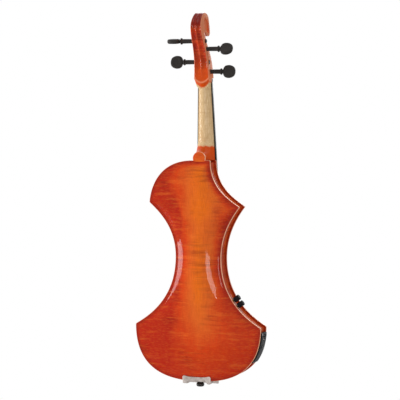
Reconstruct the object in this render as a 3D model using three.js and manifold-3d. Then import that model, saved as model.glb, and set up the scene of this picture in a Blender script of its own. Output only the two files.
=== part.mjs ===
// An electric violin of full size: a hollow asymmetric body with a cutaway on the bass side, a neck with a
// hook-shaped head, four strings over a bridge, and the electronics in the bass ribs.
// Millimetres. +Z runs up the centre line to the head, +Y towards the back and +X towards the treble side.
// The origin is the middle of the end button's flat tip.
import * as THREE from "three";
import { mergeVertices } from "three/addons/utils/BufferGeometryUtils.js";
import Module from "manifold-3d";

const wasm = await Module();
wasm.setup();

// Facets of round pieces
const pinSides = 12;
const holeSides = 14;
const roundSides = 20;
const cordSides = 8;
const arcSteps = 8;
const bendSteps = 3;

// Clearances
const seatGap = 0.3;
const runningGap = 0.3;
const cutOverrun = 2;
const mergeDistance = 0.001;

// Body outline
const bodyBottom = 11;
const bodyLength = 358;
const lowerHalfWidth = 106;
const lowerCornerHeight = 101;
const waistHalfWidth = 38.3;
const waistHeight = 212;
const trebleCornerX = 84;
const trebleCornerHeight = 300;
const bassCornerX = 68.5;
const bassCornerHeight = 294.5;
const shoulderX = 10;
const cutawayTopX = 18.8;
const cornerWidth = 1.8;

// Plates
const ribHeight = 30;
const plateEdge = 4;
const plateThickness = 3;
const plateOverhang = 3;
const edgeRound = 1.2;
const riseInset = 1.4;
const midRiseInset = 3.7;
const archInset = 6;
const archRise = 11.5;
const spineInset = 39;
const buttonRadius = 10.6;
const buttonCentreRise = 3.6;

// Ribs, linings and blocks
const ribThickness = 1.3;
const liningThickness = 2;
const liningHeight = 7;
const blockLeg = 13;
const neckBlockWidth = 46;
const neckBlockDepth = 22;
const endBlockWidth = 48;
const endBlockDepth = 16;

// Sound holes, sound post and bass bar
const holeSpan = 62;
const upperEyeX = 22;
const lowerEyeX = 36;
const upperEyeRadius = 3.2;
const lowerEyeRadius = 4.2;
const holeSlotWidth = 5.6;
const holeTipWidth = 2.6;
const soundPostRadius = 3;
const soundPostX = 16;
const soundPostDrop = 6;
const bassBarX = 16;
const bassBarWidth = 5.5;
const bassBarLength = 250;
const bassBarDepth = 11;
const bassBarEndDepth = 3;

// Neck, fingerboard and nut
const neckLength = 128;
const nutThickness = 5;
const nutProud = 0.7;
const fingerboardLength = 268;
const fingerboardNutWidth = 24;
const fingerboardEndWidth = 42.5;
const fingerboardEdge = 5;
const fingerboardRadius = 42;
const fingerboardNutHeight = -1.7;
const fingerboardSlope = 0.1236;
const neckNutDepth = 18.5;
const neckHeelDepth = 21;
const neckInset = 1.5;
const tenonHalfWidth = 10.5;
const tenonDepth = 9;
const heelHeight = 52;

// Head and pegs
const headLength = 109.3;
const headDepth = 60;
const headHalfWidth = 7.8;
const chinHalfWidth = 12.6;
const headChamfer = 1.1;
const fluteDepth = 1;
const chinRise = 7;
const pegboxFloor = 2.8;
const pegboxNutHalfWidth = 9;
const pegboxTopHalfWidth = 5.3;
const recessDepth = 2;
const pegRadius = 3.7;
const pegInnerRadius = 3.4;
const pegTipRadius = 3;
const pegCollarRadius = 5.2;
const pegCollarWidth = 2.4;
const pegReach = 54;
const pegHeadWidth = 21;
const pegHeadThickness = 9.4;
const pegTail = 12;

// Strings and bridge
const bridgeHeight = 172;
const bridgeTop = 44.5;
const bridgeWidth = 41;
const bridgeFootThickness = 4.5;
const bridgeTopThickness = 1.4;
const nutSpacing = 5.5;
const bridgeSpacing = 11.2;
const bridgeArc = 42;
const bridgeHoleRadius = 3;
const stringSeat = 0.45;
const windingTurns = 2.75;
const windingPitch = 1.35;
const windingStart = 1;
const windingSpread = 2.1;

// Tailpiece and its tuners
const tailpieceLength = 101;
const tailpieceStart = 7;
const tailLineHeight = 13;
const tailpieceTopWidth = 41;
const tailpieceEndWidth = 21;
const tailpieceThickness = 3.8;
const tailpieceCrown = 42;
const tailpieceDrop = 2.2;
const tailHeight = 12.5;
const tailSpacing = 9;
const stringLift = 2.3;
const leverWidth = 2.6;
const tunerShankRadius = 1.2;
const tunerKnobRadius = 3.2;
const tunerKnobHeight = 4;

// End button, saddle and tail gut
const endButtonRadius = 6.5;
const grooveRadius = 4.2;
const endButtonLength = 32;
const grooveHeight = 9;
const gutRadius = 1.1;
const saddleWidth = 34;
const saddleDepth = 7.4;
const saddleTop = 6.9;

// Chin rest and its clamp
const clampSpacing = 38;
const clampDrop = 1.7;
const barrelRadius = 3.4;
const barrelLength = 28;
const clampRodRadius = 1.6;
const rodGap = 4;
const clampPlate = 2.5;
const clampFootWidth = 47.6;
const clampBarHeight = 4.5;
const clampFootHeight = 12.9;
const clampStripHeight = 7;
const clampStripRise = 3.8;
const chinRestLength = 92;
const chinRestHeight = 54;
const chinRestLift = 3;
const chinRestRise = 18;
const chinRestThickness = 9;
const chinRestDish = 5;
const chinRestFootWidth = 11;
const chinRestFootLength = 14.5;

// Electronics
const panelLow = 43;
const panelHigh = 92;
const panelProud = 2;
const panelHalfWidth = 14.2;
const doorLength = 28.5;
const doorThickness = 1.6;
const doorHalfWidth = 12.6;
const doorGripHeight = 0.9;
const doorGripWidth = 12;
const doorGripLength = 3.5;
const hingeRadius = 1.1;
const batteryLength = 48.5;
const batteryWidth = 26.5;
const batteryDepth = 17.5;
const batteryTerminal = 2;
const sleeveWall = 1.2;
const jackHeight = 85.5;
const jackBodyRadius = 4.5;
const jackFlange = 5;
const doorHeight = 57.6;
const jackRadius = 5.4;
const jackBore = 3.3;
const jackLength = 24;
const jackBoreLength = 20;
const knobRadius = 4.4;
const knobHeight = 10.4;
const knobStandoff = 1.7;
const knobSpacing = 11;
const knobsHeight = 139.6;
const knobShaftRadius = 1.6;
const potRadius = 4.3;
const potDepth = 6;
const boardLength = 34;
const boardWidth = 18;
const boardThickness = 1.6;
const leadRadius = 0.8;
const pickupLength = 16;
const pickupWidth = 3.5;
const pickupThickness = 2.2;

// Heights and planes worked out from the sizes above
const bodyTop = bodyBottom + bodyLength;
const ribHalf = ribHeight / 2;
const rimFace = ribHalf + plateEdge;
const nutHeight = bodyTop + neckLength;
const fingerboardEnd = nutHeight - fingerboardLength;

// Curves of the outline: the shares place each curve's two handles in the box from its start to its end.
const lowerBoutShares = [[0.309, 0], [1, 0.03]];
const lowWaistShares = [[0.375, 0.135], [1, 0.405]];
const trebleWaistShares = [[0, 0.515], [0.56, 0.8]];
const bassWaistShares = [[0, 0.442], [0.513, 0.762]];
const upperBoutShares = [[0.003, 0.129], [0.078, 1]];
const cutawayShares = [[0, 0.584], [0.6, 0.82]];
const outlineSteps = 44;
const stretchCounts = [19, 13, 10, 7, 12];

const point = (across, up) => new THREE.Vector2(across, up);
const place = (x, y, z) => new THREE.Vector3(x, y, z);
const mirrored = (p) => point(-p.x, p.y);
const backwards = (shares) => shares.map(([across, up]) => [1 - across, 1 - up]).reverse();
const lerp = THREE.MathUtils.lerp;
const evenly = (low, high, steps) => Array.from({ length: steps + 1 }, (_, i) => lerp(low, high, i / steps));

// A curve from start to end with its handles at shares of the box between them.
function handled(start, end, shares) {
  const handles = shares.map(([across, up]) =>
    point(lerp(start.x, end.x, across), lerp(start.y, end.y, up)),
  );
  return new THREE.CubicBezierCurve(start, handles[0], handles[1], end);
}

// The outline's five stretches from corner to corner, counterclockwise as seen from the front:
// lower bout, treble waist, upper bout, cutaway and bass waist.
const outline = (() => {
  const bottom = point(0, bodyBottom);
  const lower = point(lowerHalfWidth, lowerCornerHeight);
  const waist = point(waistHalfWidth, waistHeight);
  const trebleCorner = point(trebleCornerX, trebleCornerHeight);
  const bassCorner = point(-bassCornerX, bassCornerHeight);
  const shoulder = point(shoulderX, bodyTop);
  const cutawayTop = point(-cutawayTopX, bodyTop);
  const stretches = [
    [
      handled(mirrored(lower), bottom, backwards(lowerBoutShares)),
      handled(bottom, lower, lowerBoutShares),
    ],
    [
      handled(lower, waist, lowWaistShares),
      handled(waist, trebleCorner, trebleWaistShares),
    ],
    [
      handled(trebleCorner, shoulder, upperBoutShares),
      new THREE.LineCurve(shoulder, cutawayTop),
    ],
    [handled(cutawayTop, bassCorner, cutawayShares)],
    [
      handled(bassCorner, mirrored(waist), backwards(bassWaistShares)),
      handled(mirrored(waist), mirrored(lower), backwards(lowWaistShares)),
    ],
  ];
  return stretches.map((curves) =>
    curves.flatMap((curve, i) => curve.getSpacedPoints(outlineSteps).slice(i ? 1 : 0)),
  );
})();

// A line moved sideways by a distance, to its left.
function moved(line, distance) {
  return line.map((p, i) => {
    const along = line[Math.min(i + 1, line.length - 1)].clone().sub(line[Math.max(i - 1, 0)]).normalize();
    return point(p.x - along.y * distance, p.y + along.x * distance);
  });
}

// The place where two short stretches cross, or nothing.
function crossing(a, b, c, d) {
  const first = b.clone().sub(a);
  const second = d.clone().sub(c);
  const turn = first.cross(second);
  if (!turn) return null;
  const reach = c.clone().sub(a);
  const s = reach.cross(second) / turn;
  const t = reach.cross(first) / turn;
  const meets = s >= 0 && s <= 1 && t >= 0 && t <= 1;
  return meets ? a.clone().addScaledVector(first, s) : null;
}

// Cuts the end of one line and the start of the next where they cross.
function mitred(line, next) {
  for (let i = line.length - 2; i >= 0; i--) {
    for (let j = 0; j < next.length - 1; j++) {
      const corner = crossing(line[i], line[i + 1], next[j], next[j + 1]);
      if (corner) return [[...line.slice(0, i + 1), corner], [corner, ...next.slice(j + 1)]];
    }
  }
  return [line, next];
}

// Points at equal steps along a line, without a piece of it at each end.
function spaced(line, count, trim) {
  const reach = [0];
  line.slice(1).forEach((p, i) => reach.push(reach[i] + p.distanceTo(line[i])));
  const total = reach[reach.length - 1];
  return Array.from({ length: count }, (_, k) => {
    const target = lerp(trim, total - trim, k / (count - 1));
    const i = Math.min(Math.max(reach.findIndex((r) => r >= target), 1), line.length - 1);
    return line[i - 1].clone().lerp(line[i], (target - reach[i - 1]) / (reach[i] - reach[i - 1]));
  });
}

// The outline's stretches moved inwards, mitred at the corners.
function insetStretches(inset) {
  const lines = outline.map((line) => moved(line, inset));
  lines.forEach((_, k) => {
    const next = (k + 1) % lines.length;
    [lines[k], lines[next]] = mitred(lines[k], lines[next]);
  });
  return lines;
}

const loops = new Map();

// The closed loop at an inset, with blunt corners and always the same number of points.
function loop(inset) {
  if (!loops.has(inset)) {
    const stretches = insetStretches(inset);
    loops.set(inset, stretches.flatMap((line, k) => spaced(line, stretchCounts[k], cornerWidth / 2)));
  }
  return loops.get(inset);
}

// The signed volume of a closed surface.
function volumeOf(vertices, faces) {
  const corner = (i) => place(...vertices.slice(3 * i, 3 * i + 3));
  return faces.reduce((sum, [a, b, c]) => sum + corner(a).dot(corner(b).cross(corner(c))), 0);
}

// A closed geometry as a solid whose faces point outwards.
function solid(geometry) {
  const bare = geometry.clone();
  bare.deleteAttribute("normal");
  bare.deleteAttribute("uv");
  const merged = mergeVertices(bare, mergeDistance);
  const vertices = merged.attributes.position.array;
  const index = merged.index.array;
  const faces = [];
  for (let i = 0; i < index.length; i += 3) {
    const [a, b, c] = index.slice(i, i + 3);
    if (a !== b && b !== c && c !== a) faces.push([a, b, c]);
  }
  const outward = volumeOf(vertices, faces) < 0 ? faces.map(([a, b, c]) => [a, c, b]) : faces;
  return new wasm.Manifold(
    new wasm.Mesh({
      numProp: 3,
      vertProperties: new Float32Array(vertices),
      triVerts: new Uint32Array(outward.flat()),
    }),
  );
}

// The geometry of a solid.
function geometryOf(body) {
  const mesh = body.getMesh();
  const geometry = new THREE.BufferGeometry();
  geometry.setAttribute("position", new THREE.BufferAttribute(new Float32Array(mesh.vertProperties), 3));
  geometry.setIndex(new THREE.BufferAttribute(new Uint32Array(mesh.triVerts), 1));
  geometry.computeVertexNormals();
  return geometry;
}

const joined = (...bodies) => bodies.reduce((all, body) => all.add(body));
const without = (body, ...cutters) => cutters.reduce((rest, cutter) => rest.subtract(cutter), body);
const shifted = (body, x, y, z) => body.translate([x, y, z]);

// The largest separate body of a solid that a cut has left in pieces.
function largest(body) {
  return body.decompose().reduce((best, piece) => (piece.volume() > best.volume() ? piece : best));
}

// The triangles that fill a flat ring, along its own direction or against it.
function filled(ring, along) {
  const direction = Math.sign(THREE.ShapeUtils.area(ring)) * along;
  return THREE.ShapeUtils.triangulateShape(ring, []).map(([a, b, c]) => {
    const side = Math.sign(THREE.ShapeUtils.area([ring[a], ring[b], ring[c]]));
    return side === direction ? [a, b, c] : [a, c, b];
  });
}

// A closed surface through rings of equally many points, with its first and last ring filled.
// flatten turns a point into the plane in which the rings are filled.
function skinned(rings, flatten) {
  const count = rings[0].length;
  const vertices = rings.flat().flatMap((p) => [p.x, p.y, p.z]);
  const faces = [];
  for (let r = 0; r < rings.length - 1; r++) {
    for (let i = 0; i < count; i++) {
      const a = r * count + i;
      const b = r * count + ((i + 1) % count);
      faces.push(a, b, b + count, a, b + count, a + count);
    }
  }
  faces.push(...filled(rings[0].map(flatten), -1).flat());
  const last = (rings.length - 1) * count;
  faces.push(...filled(rings[rings.length - 1].map(flatten), 1).flat().map((i) => i + last));
  const geometry = new THREE.BufferGeometry();
  geometry.setAttribute("position", new THREE.Float32BufferAttribute(vertices, 3));
  geometry.setIndex(faces);
  return geometry;
}

const fromBack = (p) => point(p.x, p.z);
const fromSide = (p) => point(p.y, p.z);
const fromAbove = (p) => point(p.x, p.y);

// A flat outline pushed out along one axis from low to high.
// The outline is (y, z) along X, (x, z) along Y and (x, y) along Z.
function prism(points, axis, low, high, holes = []) {
  const shape = new THREE.Shape(points);
  shape.holes = holes.map((hole) => new THREE.Path(hole));
  const geometry = new THREE.ExtrudeGeometry(shape, { depth: high - low, bevelEnabled: false, steps: 1 });
  const x = place(1, 0, 0);
  const y = place(0, 1, 0);
  const z = place(0, 0, 1);
  const basis = new THREE.Matrix4();
  if (axis === "x") basis.makeBasis(y, z, x).setPosition(low, 0, 0);
  if (axis === "y") basis.makeBasis(x, z, place(0, -1, 0)).setPosition(0, high, 0);
  if (axis === "z") basis.setPosition(0, 0, low);
  return solid(geometry.applyMatrix4(basis));
}

// A block between two corners.
function block(low, high) {
  const size = high.clone().sub(low);
  const middle = low.clone().add(high).multiplyScalar(1 / 2);
  return solid(new THREE.BoxGeometry(size.x, size.y, size.z).translate(middle.x, middle.y, middle.z));
}

// Turns a geometry made around the Y axis to lie along another axis.
function along(axis, geometry) {
  if (axis === "x") geometry.rotateZ(-Math.PI / 2);
  if (axis === "z") geometry.rotateX(Math.PI / 2);
  return geometry;
}

// A round rod along an axis between two positions on it. The axis goes through the centre.
function rod(radius, axis, low, high, centre, sides) {
  const geometry = new THREE.CylinderGeometry(radius, radius, high - low, sides);
  const middle = (low + high) / 2;
  geometry.translate(0, middle, 0);
  return solid(along(axis, geometry).translate(centre.x, centre.y, centre.z));
}

// A body turned on a lathe round an axis, from pairs of radius and position.
function turned(profile, axis, sides) {
  return solid(along(axis, new THREE.LatheGeometry(profile.map(([r, h]) => point(r, h)), sides)));
}

// A path with its corners rounded off, each over a reach to both sides.
function rounded(points, reach, steps) {
  const ends = [points[0], points[points.length - 1]];
  const bends = points.slice(1, -1).flatMap((corner, i) => {
    const toward = (other) => other.clone().sub(corner).setLength(reach).add(corner);
    const bend = new THREE.QuadraticBezierCurve3(toward(points[i]), corner, toward(points[i + 2]));
    return bend.getPoints(steps);
  });
  return [ends[0], ...bends, ends[1]];
}

// A round wire through a list of points, with an even section carried along it.
function wire(points, radius, sides) {
  const headings = points.map((p, i) =>
    points[Math.min(i + 1, points.length - 1)].clone().sub(points[Math.max(i - 1, 0)]).normalize(),
  );
  const first = Math.abs(headings[0].x) < Math.SQRT1_2 ? place(1, 0, 0) : place(0, 1, 0);
  let side = first.clone().addScaledVector(headings[0], -first.dot(headings[0])).normalize();
  const rings = points.map((p, i) => {
    side = side.clone().addScaledVector(headings[i], -side.dot(headings[i])).normalize();
    const up = headings[i].clone().cross(side);
    return Array.from({ length: sides }, (_, k) => {
      const angle = (2 * Math.PI * k) / sides;
      const offset = side.clone().multiplyScalar(radius * Math.cos(angle));
      return p.clone().add(offset).addScaledVector(up, radius * Math.sin(angle));
    });
  });
  const turn = (p, k) => point(Math.cos((2 * Math.PI * k) / sides), Math.sin((2 * Math.PI * k) / sides));
  return solid(skinned(rings, turn));
}

const object = new THREE.Group();

const colours = {
  backMaple: [0xb8481a, 0.25, 0],
  topSpruce: [0xb5561f, 0.3, 0],
  ribMaple: [0x8f2f12, 0.28, 0],
  neckMaple: [0xa83c16, 0.3, 0],
  bareSpruce: [0xd8b98a, 0.7, 0],
  ebony: [0x17140f, 0.45, 0],
  bareMaple: [0xc9a26b, 0.5, 0],
  steel: [0xc4c4c8, 0.3, 1],
  nickel: [0xd8d8dc, 0.25, 1],
  blackPlastic: [0x101012, 0.4, 0],
  board: [0x1f5a34, 0.5, 0],
  gut: [0x1b1b1d, 0.4, 0],
};

// Adds one named piece with a material of its own to a group.
function add(name, body, colour, group = object) {
  const [color, roughness, metalness] = colours[colour];
  const material = new THREE.MeshStandardMaterial({ color, roughness, metalness });
  const mesh = new THREE.Mesh(geometryOf(body), material);
  mesh.name = name;
  group.add(mesh);
  return mesh;
}

// Plates

// The height of the arch along the spine, as a share of its rise.
const archEndShare = 0.6;
function longArch(height) {
  const share = (height - bodyBottom - spineInset) / (bodyLength - 2 * spineInset);
  return archEndShare + (1 - archEndShare) * Math.sin(Math.PI * THREE.MathUtils.clamp(share, 0, 1));
}

// The plate's face over the arch's outermost loop: its target on the spine, how steep the arch starts there,
// and how far it has risen by then.
const archPowerShare = 1.9;
const archFeet = loop(archInset).map((p) => {
  const spineShare = (p.y - bodyBottom) / bodyLength;
  const spine = lerp(bodyBottom + spineInset, bodyBottom + bodyLength - spineInset, spineShare);
  const crest = archRise * longArch(spine);
  const easing = (archInset - riseInset) / 2;
  const reach = Math.hypot(p.x, spine - p.y) + archPowerShare * easing;
  const steepness = (archPowerShare * crest) / reach;
  return { p, spine, crest, steepness, risen: steepness * easing };
});

// A ring part of the way from the outermost loop of the arch to the spine, on the outer face or below it.
function archRing(share, depth) {
  return archFeet.map(({ p, spine, crest, risen }) => {
    const rise = lerp(crest, risen, (1 - share) ** archPowerShare);
    return place(p.x * (1 - share), rimFace + rise - depth, lerp(p.y, spine, share));
  });
}

const rimRing = (inset, face) => loop(inset).map((p) => place(p.x, face, p.y));

// A ring on the outer face between the edge and the arch, where the slope grows evenly from nothing.
function easedRing(inset) {
  const share = (inset - riseInset) / (archInset - riseInset);
  return loop(inset).map((p, i) => place(p.x, rimFace + archFeet[i].risen * share * share, p.y));
}

// The arched plate with its rounded edge, for the back; the top plate is its mirror image.
const archShares = [0.2, 0.42, 0.68, 0.92];
const backShell = (() => {
  const inside = archShares.map((share) => archRing(share, plateThickness)).reverse();
  const rim = [
    rimRing(archInset, ribHalf),
    rimRing(0, ribHalf),
    rimRing(0, rimFace - edgeRound),
    rimRing(edgeRound, rimFace),
    easedRing(midRiseInset),
    easedRing(archInset),
  ];
  const outside = archShares.map((share) => archRing(share, 0));
  return solid(skinned([...inside, ...rim, ...outside], fromBack));
})();

const topShell = backShell.mirror([0, 1, 0]);
const buttonCentre = place(0, 0, bodyTop + buttonCentreRise);
const button = rod(buttonRadius, "y", ribHalf, rimFace, buttonCentre, roundSides);
const backPlate = joined(backShell, button);

// Sound holes

// One sound hole as a cutter through the top plate: two eyes joined by a curved slot.
const holeHandleShares = [[0.64, -0.18], [0.14, 1.16]];
const holeSteps = 10;
const upperEye = point(upperEyeX, bridgeHeight + holeSpan / 2);
const lowerEye = point(lowerEyeX, bridgeHeight - holeSpan / 2);
const holeCurve = handled(upperEye, lowerEye, holeHandleShares);
const soundHoleMiddle = () => holeCurve.getPoint(1 / 2);
function soundHole(side) {
  const middle = holeCurve.getPoints(holeSteps);
  const half = (i) => lerp(holeTipWidth, holeSlotWidth, Math.sin((Math.PI * i) / holeSteps)) / 2;
  const edge = (sign) => middle.map((p, i) => moved(middle, sign * half(i))[i]);
  const slot = [...edge(1), ...edge(-1).reverse()];
  const low = -rimFace - archRise - cutOverrun;
  const eye = (centre, radius) => rod(radius, "y", low, 0, place(centre.x, 0, centre.y), holeSides);
  const eyes = [eye(upperEye, upperEyeRadius), eye(lowerEye, lowerEyeRadius)];
  const cutter = joined(prism(slot, "y", low, 0), ...eyes);
  return side < 0 ? cutter.mirror([1, 0, 0]) : cutter;
}

// Ribs, linings and blocks

const ribFace = ribHalf - seatGap;
const ribOuter = plateOverhang;
const ribInner = plateOverhang + ribThickness;
const liningOuter = ribInner + seatGap;
const liningInner = liningOuter + liningThickness;
const stretchNames = ["rib_lower", "rib_waist_treble", "rib_upper", "rib_cutaway", "rib_waist_bass"];

const ribs = stretchNames.map((_, k) => {
  const side = (inset) => spaced(insetStretches(inset)[k], stretchCounts[k], seatGap / 2);
  return prism([...side(ribOuter), ...side(ribInner).reverse()], "y", -ribFace, ribFace);
});

// A ring inside the ribs between two insets and two faces.
function innerRing(outer, inner, low, high) {
  return prism(loop(outer), "y", low, high, [loop(inner)]);
}

const liningLow = ribFace - liningHeight;
const backLining = innerRing(liningOuter, liningInner, liningLow, ribFace);
const liningRoom = innerRing(ribInner, liningInner + seatGap, liningLow - seatGap, ribHalf + cutOverrun);
const liningRooms = [liningRoom, liningRoom.mirror([0, 1, 0])];
const insidePrism = prism(loop(liningOuter), "y", -ribFace, ribFace);

// A block that fills the corner where one stretch ends and the next begins.
function cornerBlock(k) {
  const lines = insetStretches(liningOuter);
  const fine = (line) => spaced(line, 2 * outlineSteps, 0);
  const near = (line) => line.filter((p) => p.distanceTo(line[0]) < blockLeg);
  const before = near(fine(lines[k]).reverse());
  const after = near(fine(lines[(k + 1) % lines.length]));
  const thin = (line) => [line[Math.floor(line.length / 2)], line[line.length - 1]];
  const shape = [...thin(before).reverse(), before[0], ...thin(after)];
  return without(prism(shape, "y", -ribFace, ribFace).intersect(insidePrism), ...liningRooms);
}

// Neck: the shaft and heel, from sections; the pegbox and head, from a side profile.

const boardFace = (height) => -rimFace - fingerboardNutHeight - fingerboardSlope * (nutHeight - height);
const boardHalfWidth = (height) =>
  lerp(fingerboardNutWidth, fingerboardEndWidth, (nutHeight - height) / fingerboardLength) / 2;
const sagitta = (radius, half) => radius - Math.sqrt(radius * radius - half * half);
const edgeUnder = (height) =>
  boardFace(height) + sagitta(fingerboardRadius, boardHalfWidth(height)) + fingerboardEdge;
const boardUnder = (height) =>
  lerp(edgeUnder(nutHeight), edgeUnder(fingerboardEnd), (nutHeight - height) / fingerboardLength);
const glueFace = (height) => boardUnder(height) + seatGap;
const neckBack = (height) => {
  const share = (nutHeight - height) / (neckLength - heelHeight / 2);
  return boardFace(height) + lerp(neckNutDepth, neckHeelDepth, THREE.MathUtils.clamp(share, 0, 1));
};

// A section of the shaft at a height: flat at the fingerboard and rounded at the back.
const shaftSteps = 12;
function shaftSection(height) {
  const half = boardHalfWidth(height) - neckInset;
  const front = glueFace(height);
  const depth = neckBack(height) - front;
  return Array.from({ length: shaftSteps + 1 }, (_, i) => {
    const angle = (Math.PI * i) / shaftSteps;
    return place(half * Math.cos(angle), front + depth * Math.sin(angle) ** (3 / 4), height);
  });
}

// A section of the heel at a depth: straight sides closed by a half ellipse towards the head.
const heelDepthShares = [0, 0.14, 0.3, 0.46, 0.6, 0.72, 0.85, 1];
const heelRiseShares = [0.01, 0.035, 0.085, 0.165, 0.29, 0.44, 0.64, 1];
const heelTopHalfWidth = 15.8;
const heelSteps = 10;
function heelSection(k) {
  const base = bodyTop + seatGap;
  const share = heelDepthShares[k];
  const depth = lerp(ribFace, glueFace(bodyTop + heelHeight), share);
  const half = lerp(buttonRadius - seatGap, heelTopHalfWidth, share);
  const centre = buttonCentre.z;
  const rise = buttonRadius + (bodyTop + heelHeight - centre - buttonRadius) * heelRiseShares[k];
  const round = Array.from({ length: heelSteps + 1 }, (_, i) => {
    const angle = (Math.PI * i) / heelSteps;
    return place(half * Math.cos(angle), depth, centre + rise * Math.sin(angle));
  });
  return [place(-half, depth, base), place(half, depth, base), ...round];
}

// The side profile of the pegbox and head, as shares of the head's depth and length: from the back of the
// neck up over the head to the hook's tip, into its throat and down the front edge to the nut.
const headShares = [
  [0.296, -0.101], [0.369, -0.069], [0.449, -0.027], [0.445, 0.055], [0.475, 0.165], [0.538, 0.311],
  [0.638, 0.43], [0.757, 0.535], [0.89, 0.636], [0.978, 0.727], [1, 0.814], [0.937, 0.883],
  [0.816, 0.947], [0.641, 0.994], [0.442, 1], [0.272, 0.953], [0.209, 0.851], [0.179, 0.746],
  [0.216, 0.688], [0.314, 0.665], [0.492, 0.677], [0.645, 0.718], [0.608, 0.65], [0.5, 0.567],
  [0.375, 0.494], [0.251, 0.421], [0.135, 0.329], [0.06, 0.229], [0.013, 0.128], [0, 0.051],
  [0.124, 0.051], [0.124, -0.101],
];
const lastBackPoint = 12;
const chinShares = [0, 0.8, 1, 0.3];
const headFront = boardFace(nutHeight) - seatGap;
const headPoint = ([depth, length]) =>
  point(headFront + depth * headDepth, nutHeight + length * headLength);
const headProfile = headShares.map(headPoint);

// The half width of the head at a height: it narrows evenly from its chin to its crest.
function headHalf(height) {
  const share = THREE.MathUtils.clamp((height - nutHeight - chinRise) / (headLength - chinRise), 0, 1);
  return lerp(chinHalfWidth, headHalfWidth, share);
}

// The profile at a share of the half width. The back is fluted on both sides of its ridge and the chin is
// round.
function headRing(share, inset, fluted) {
  const line = moved([...headProfile, headProfile[0]], inset).slice(0, -1);
  return line.map((p, i) => {
    const onBack = i > chinShares.length - 1 && i <= lastBackPoint;
    const groove = fluted && onBack ? fluteDepth : 0;
    const normal = moved(headProfile, groove)[i].clone().sub(headProfile[i]);
    const rise = (chinShares[i] ?? 0) * chinRise * share * share;
    return place(share * headHalf(p.y), p.x + normal.x, p.y + normal.y + rise);
  });
}

const headShell = (() => {
  const edge = 1 - headChamfer / headHalfWidth;
  const rings = [
    headRing(-1, headChamfer, false),
    headRing(-edge, 0, false),
    headRing(-1 / 2, 0, true),
    headRing(0, 0, false),
    headRing(1 / 2, 0, true),
    headRing(edge, 0, false),
    headRing(1, headChamfer, false),
  ];
  return solid(skinned(rings, fromSide));
})();

// Strings and pegs: place across the neck, side of the peg's head, place of the peg as shares of the head's
// length and depth, how far the peg is turned at rest, and the string's diameter.
const stringTable = [
  { note: "G", rank: -1.5, side: -1, lengthShare: 0.145, depthShare: 0.26, turn: 0.1, diameter: 0.8 },
  { note: "D", rank: -0.5, side: -1, lengthShare: 0.471, depthShare: 0.533, turn: 0.55, diameter: 0.75 },
  { note: "A", rank: 0.5, side: 1, lengthShare: 0.583, depthShare: 0.633, turn: 1.45, diameter: 0.7 },
  { note: "E", rank: 1.5, side: 1, lengthShare: 0.284, depthShare: 0.355, turn: 0.15, diameter: 0.5 },
];

const pegCentre = ({ lengthShare, depthShare }) =>
  place(0, headFront + depthShare * headDepth, nutHeight + lengthShare * headLength);

// The room inside the pegbox, open at the front.
const pegboxRoom = (() => {
  const floor = moved(headProfile, pegboxFloor).slice(chinShares.length - 1, 9);
  const frontShares = [[0.6, 0.67], [0.5, 0.6], [0.1, 0.47], [-0.2, 0.23], [-0.2, 0.025], [0.1, 0.025]];
  const shape = [...floor, ...frontShares.map(headPoint)];
  const span = floor[floor.length - 1].y - nutHeight;
  const half = (p) =>
    lerp(pegboxNutHalfWidth, pegboxTopHalfWidth, THREE.MathUtils.clamp((p.y - nutHeight) / span, 0, 1));
  const wall = (side) => shape.map((p) => place(side * half(p), p.x, p.y));
  return solid(skinned([wall(-1), wall(1)], fromSide));
})();

// The shallow recess carved into each side of the hook.
const recessShares = [
  [0.3, 0.72], [0.5, 0.735], [0.7, 0.79], [0.74, 0.86], [0.62, 0.92], [0.42, 0.92], [0.3, 0.85],
];
const recesses = [-1, 1].map((side) => {
  const floor = side * (headHalfWidth - recessDepth);
  const beyond = side * (headHalfWidth + cutOverrun);
  return prism(recessShares.map(headPoint), "x", Math.min(floor, beyond), Math.max(floor, beyond));
});

const tenonFront = glueFace(bodyTop);
const tenonBox = (gap) =>
  block(
    place(-tenonHalfWidth - gap, tenonFront - gap, bodyTop - tenonDepth - gap),
    place(tenonHalfWidth + gap, ribFace + gap, bodyTop + 2 * seatGap),
  );

const shaftShares = [0, 0.06, 0.14, 0.25, 0.45, 0.7, 0.9, 1];
const neck = (() => {
  const beside = chinHalfWidth + cutOverrun;
  const shaftEnds = [bodyTop + seatGap, nutHeight + nutThickness / 2];
  const sections = shaftShares.map((share) => shaftSection(lerp(...shaftEnds, share)));
  const shaft = solid(skinned(sections, fromAbove));
  const heel = solid(skinned(heelDepthShares.map((_, k) => heelSection(k)), fromBack));
  const pegHoles = stringTable.map((row) =>
    rod(pegRadius + runningGap, "x", -beside, beside, pegCentre(row), roundSides),
  );
  const nutSeat = block(
    place(-beside, headFront - cutOverrun * 2, nutHeight - seatGap),
    place(beside, glueFace(nutHeight), nutHeight + nutThickness + seatGap),
  );
  const whole = joined(shaft, heel, headShell, tenonBox(0));
  return largest(without(whole, pegboxRoom, nutSeat, ...recesses, ...pegHoles));
})();

// Fingerboard: straight between its section at the nut and the one over the body.
const fingerboard = (() => {
  const section = (height) => {
    const half = boardHalfWidth(height);
    const across = evenly(-half, half, arcSteps);
    const top = across.map((x) =>
      place(x, boardFace(height) + sagitta(fingerboardRadius, Math.abs(x)), height),
    );
    return [...top, place(half, boardUnder(height), height), place(-half, boardUnder(height), height)];
  };
  return solid(skinned([section(fingerboardEnd), section(nutHeight - seatGap)], fromAbove));
})();

const nutFace = (x) => boardFace(nutHeight) + sagitta(fingerboardRadius, Math.abs(x)) - nutProud;
const nut = (() => {
  const half = fingerboardNutWidth / 2;
  const top = evenly(-half, half, arcSteps).map((x) => point(x, nutFace(x)));
  const under = glueFace(nutHeight) - seatGap;
  return prism([...top, point(half, under), point(-half, under)], "z", nutHeight, nutHeight + nutThickness);
})();

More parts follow.
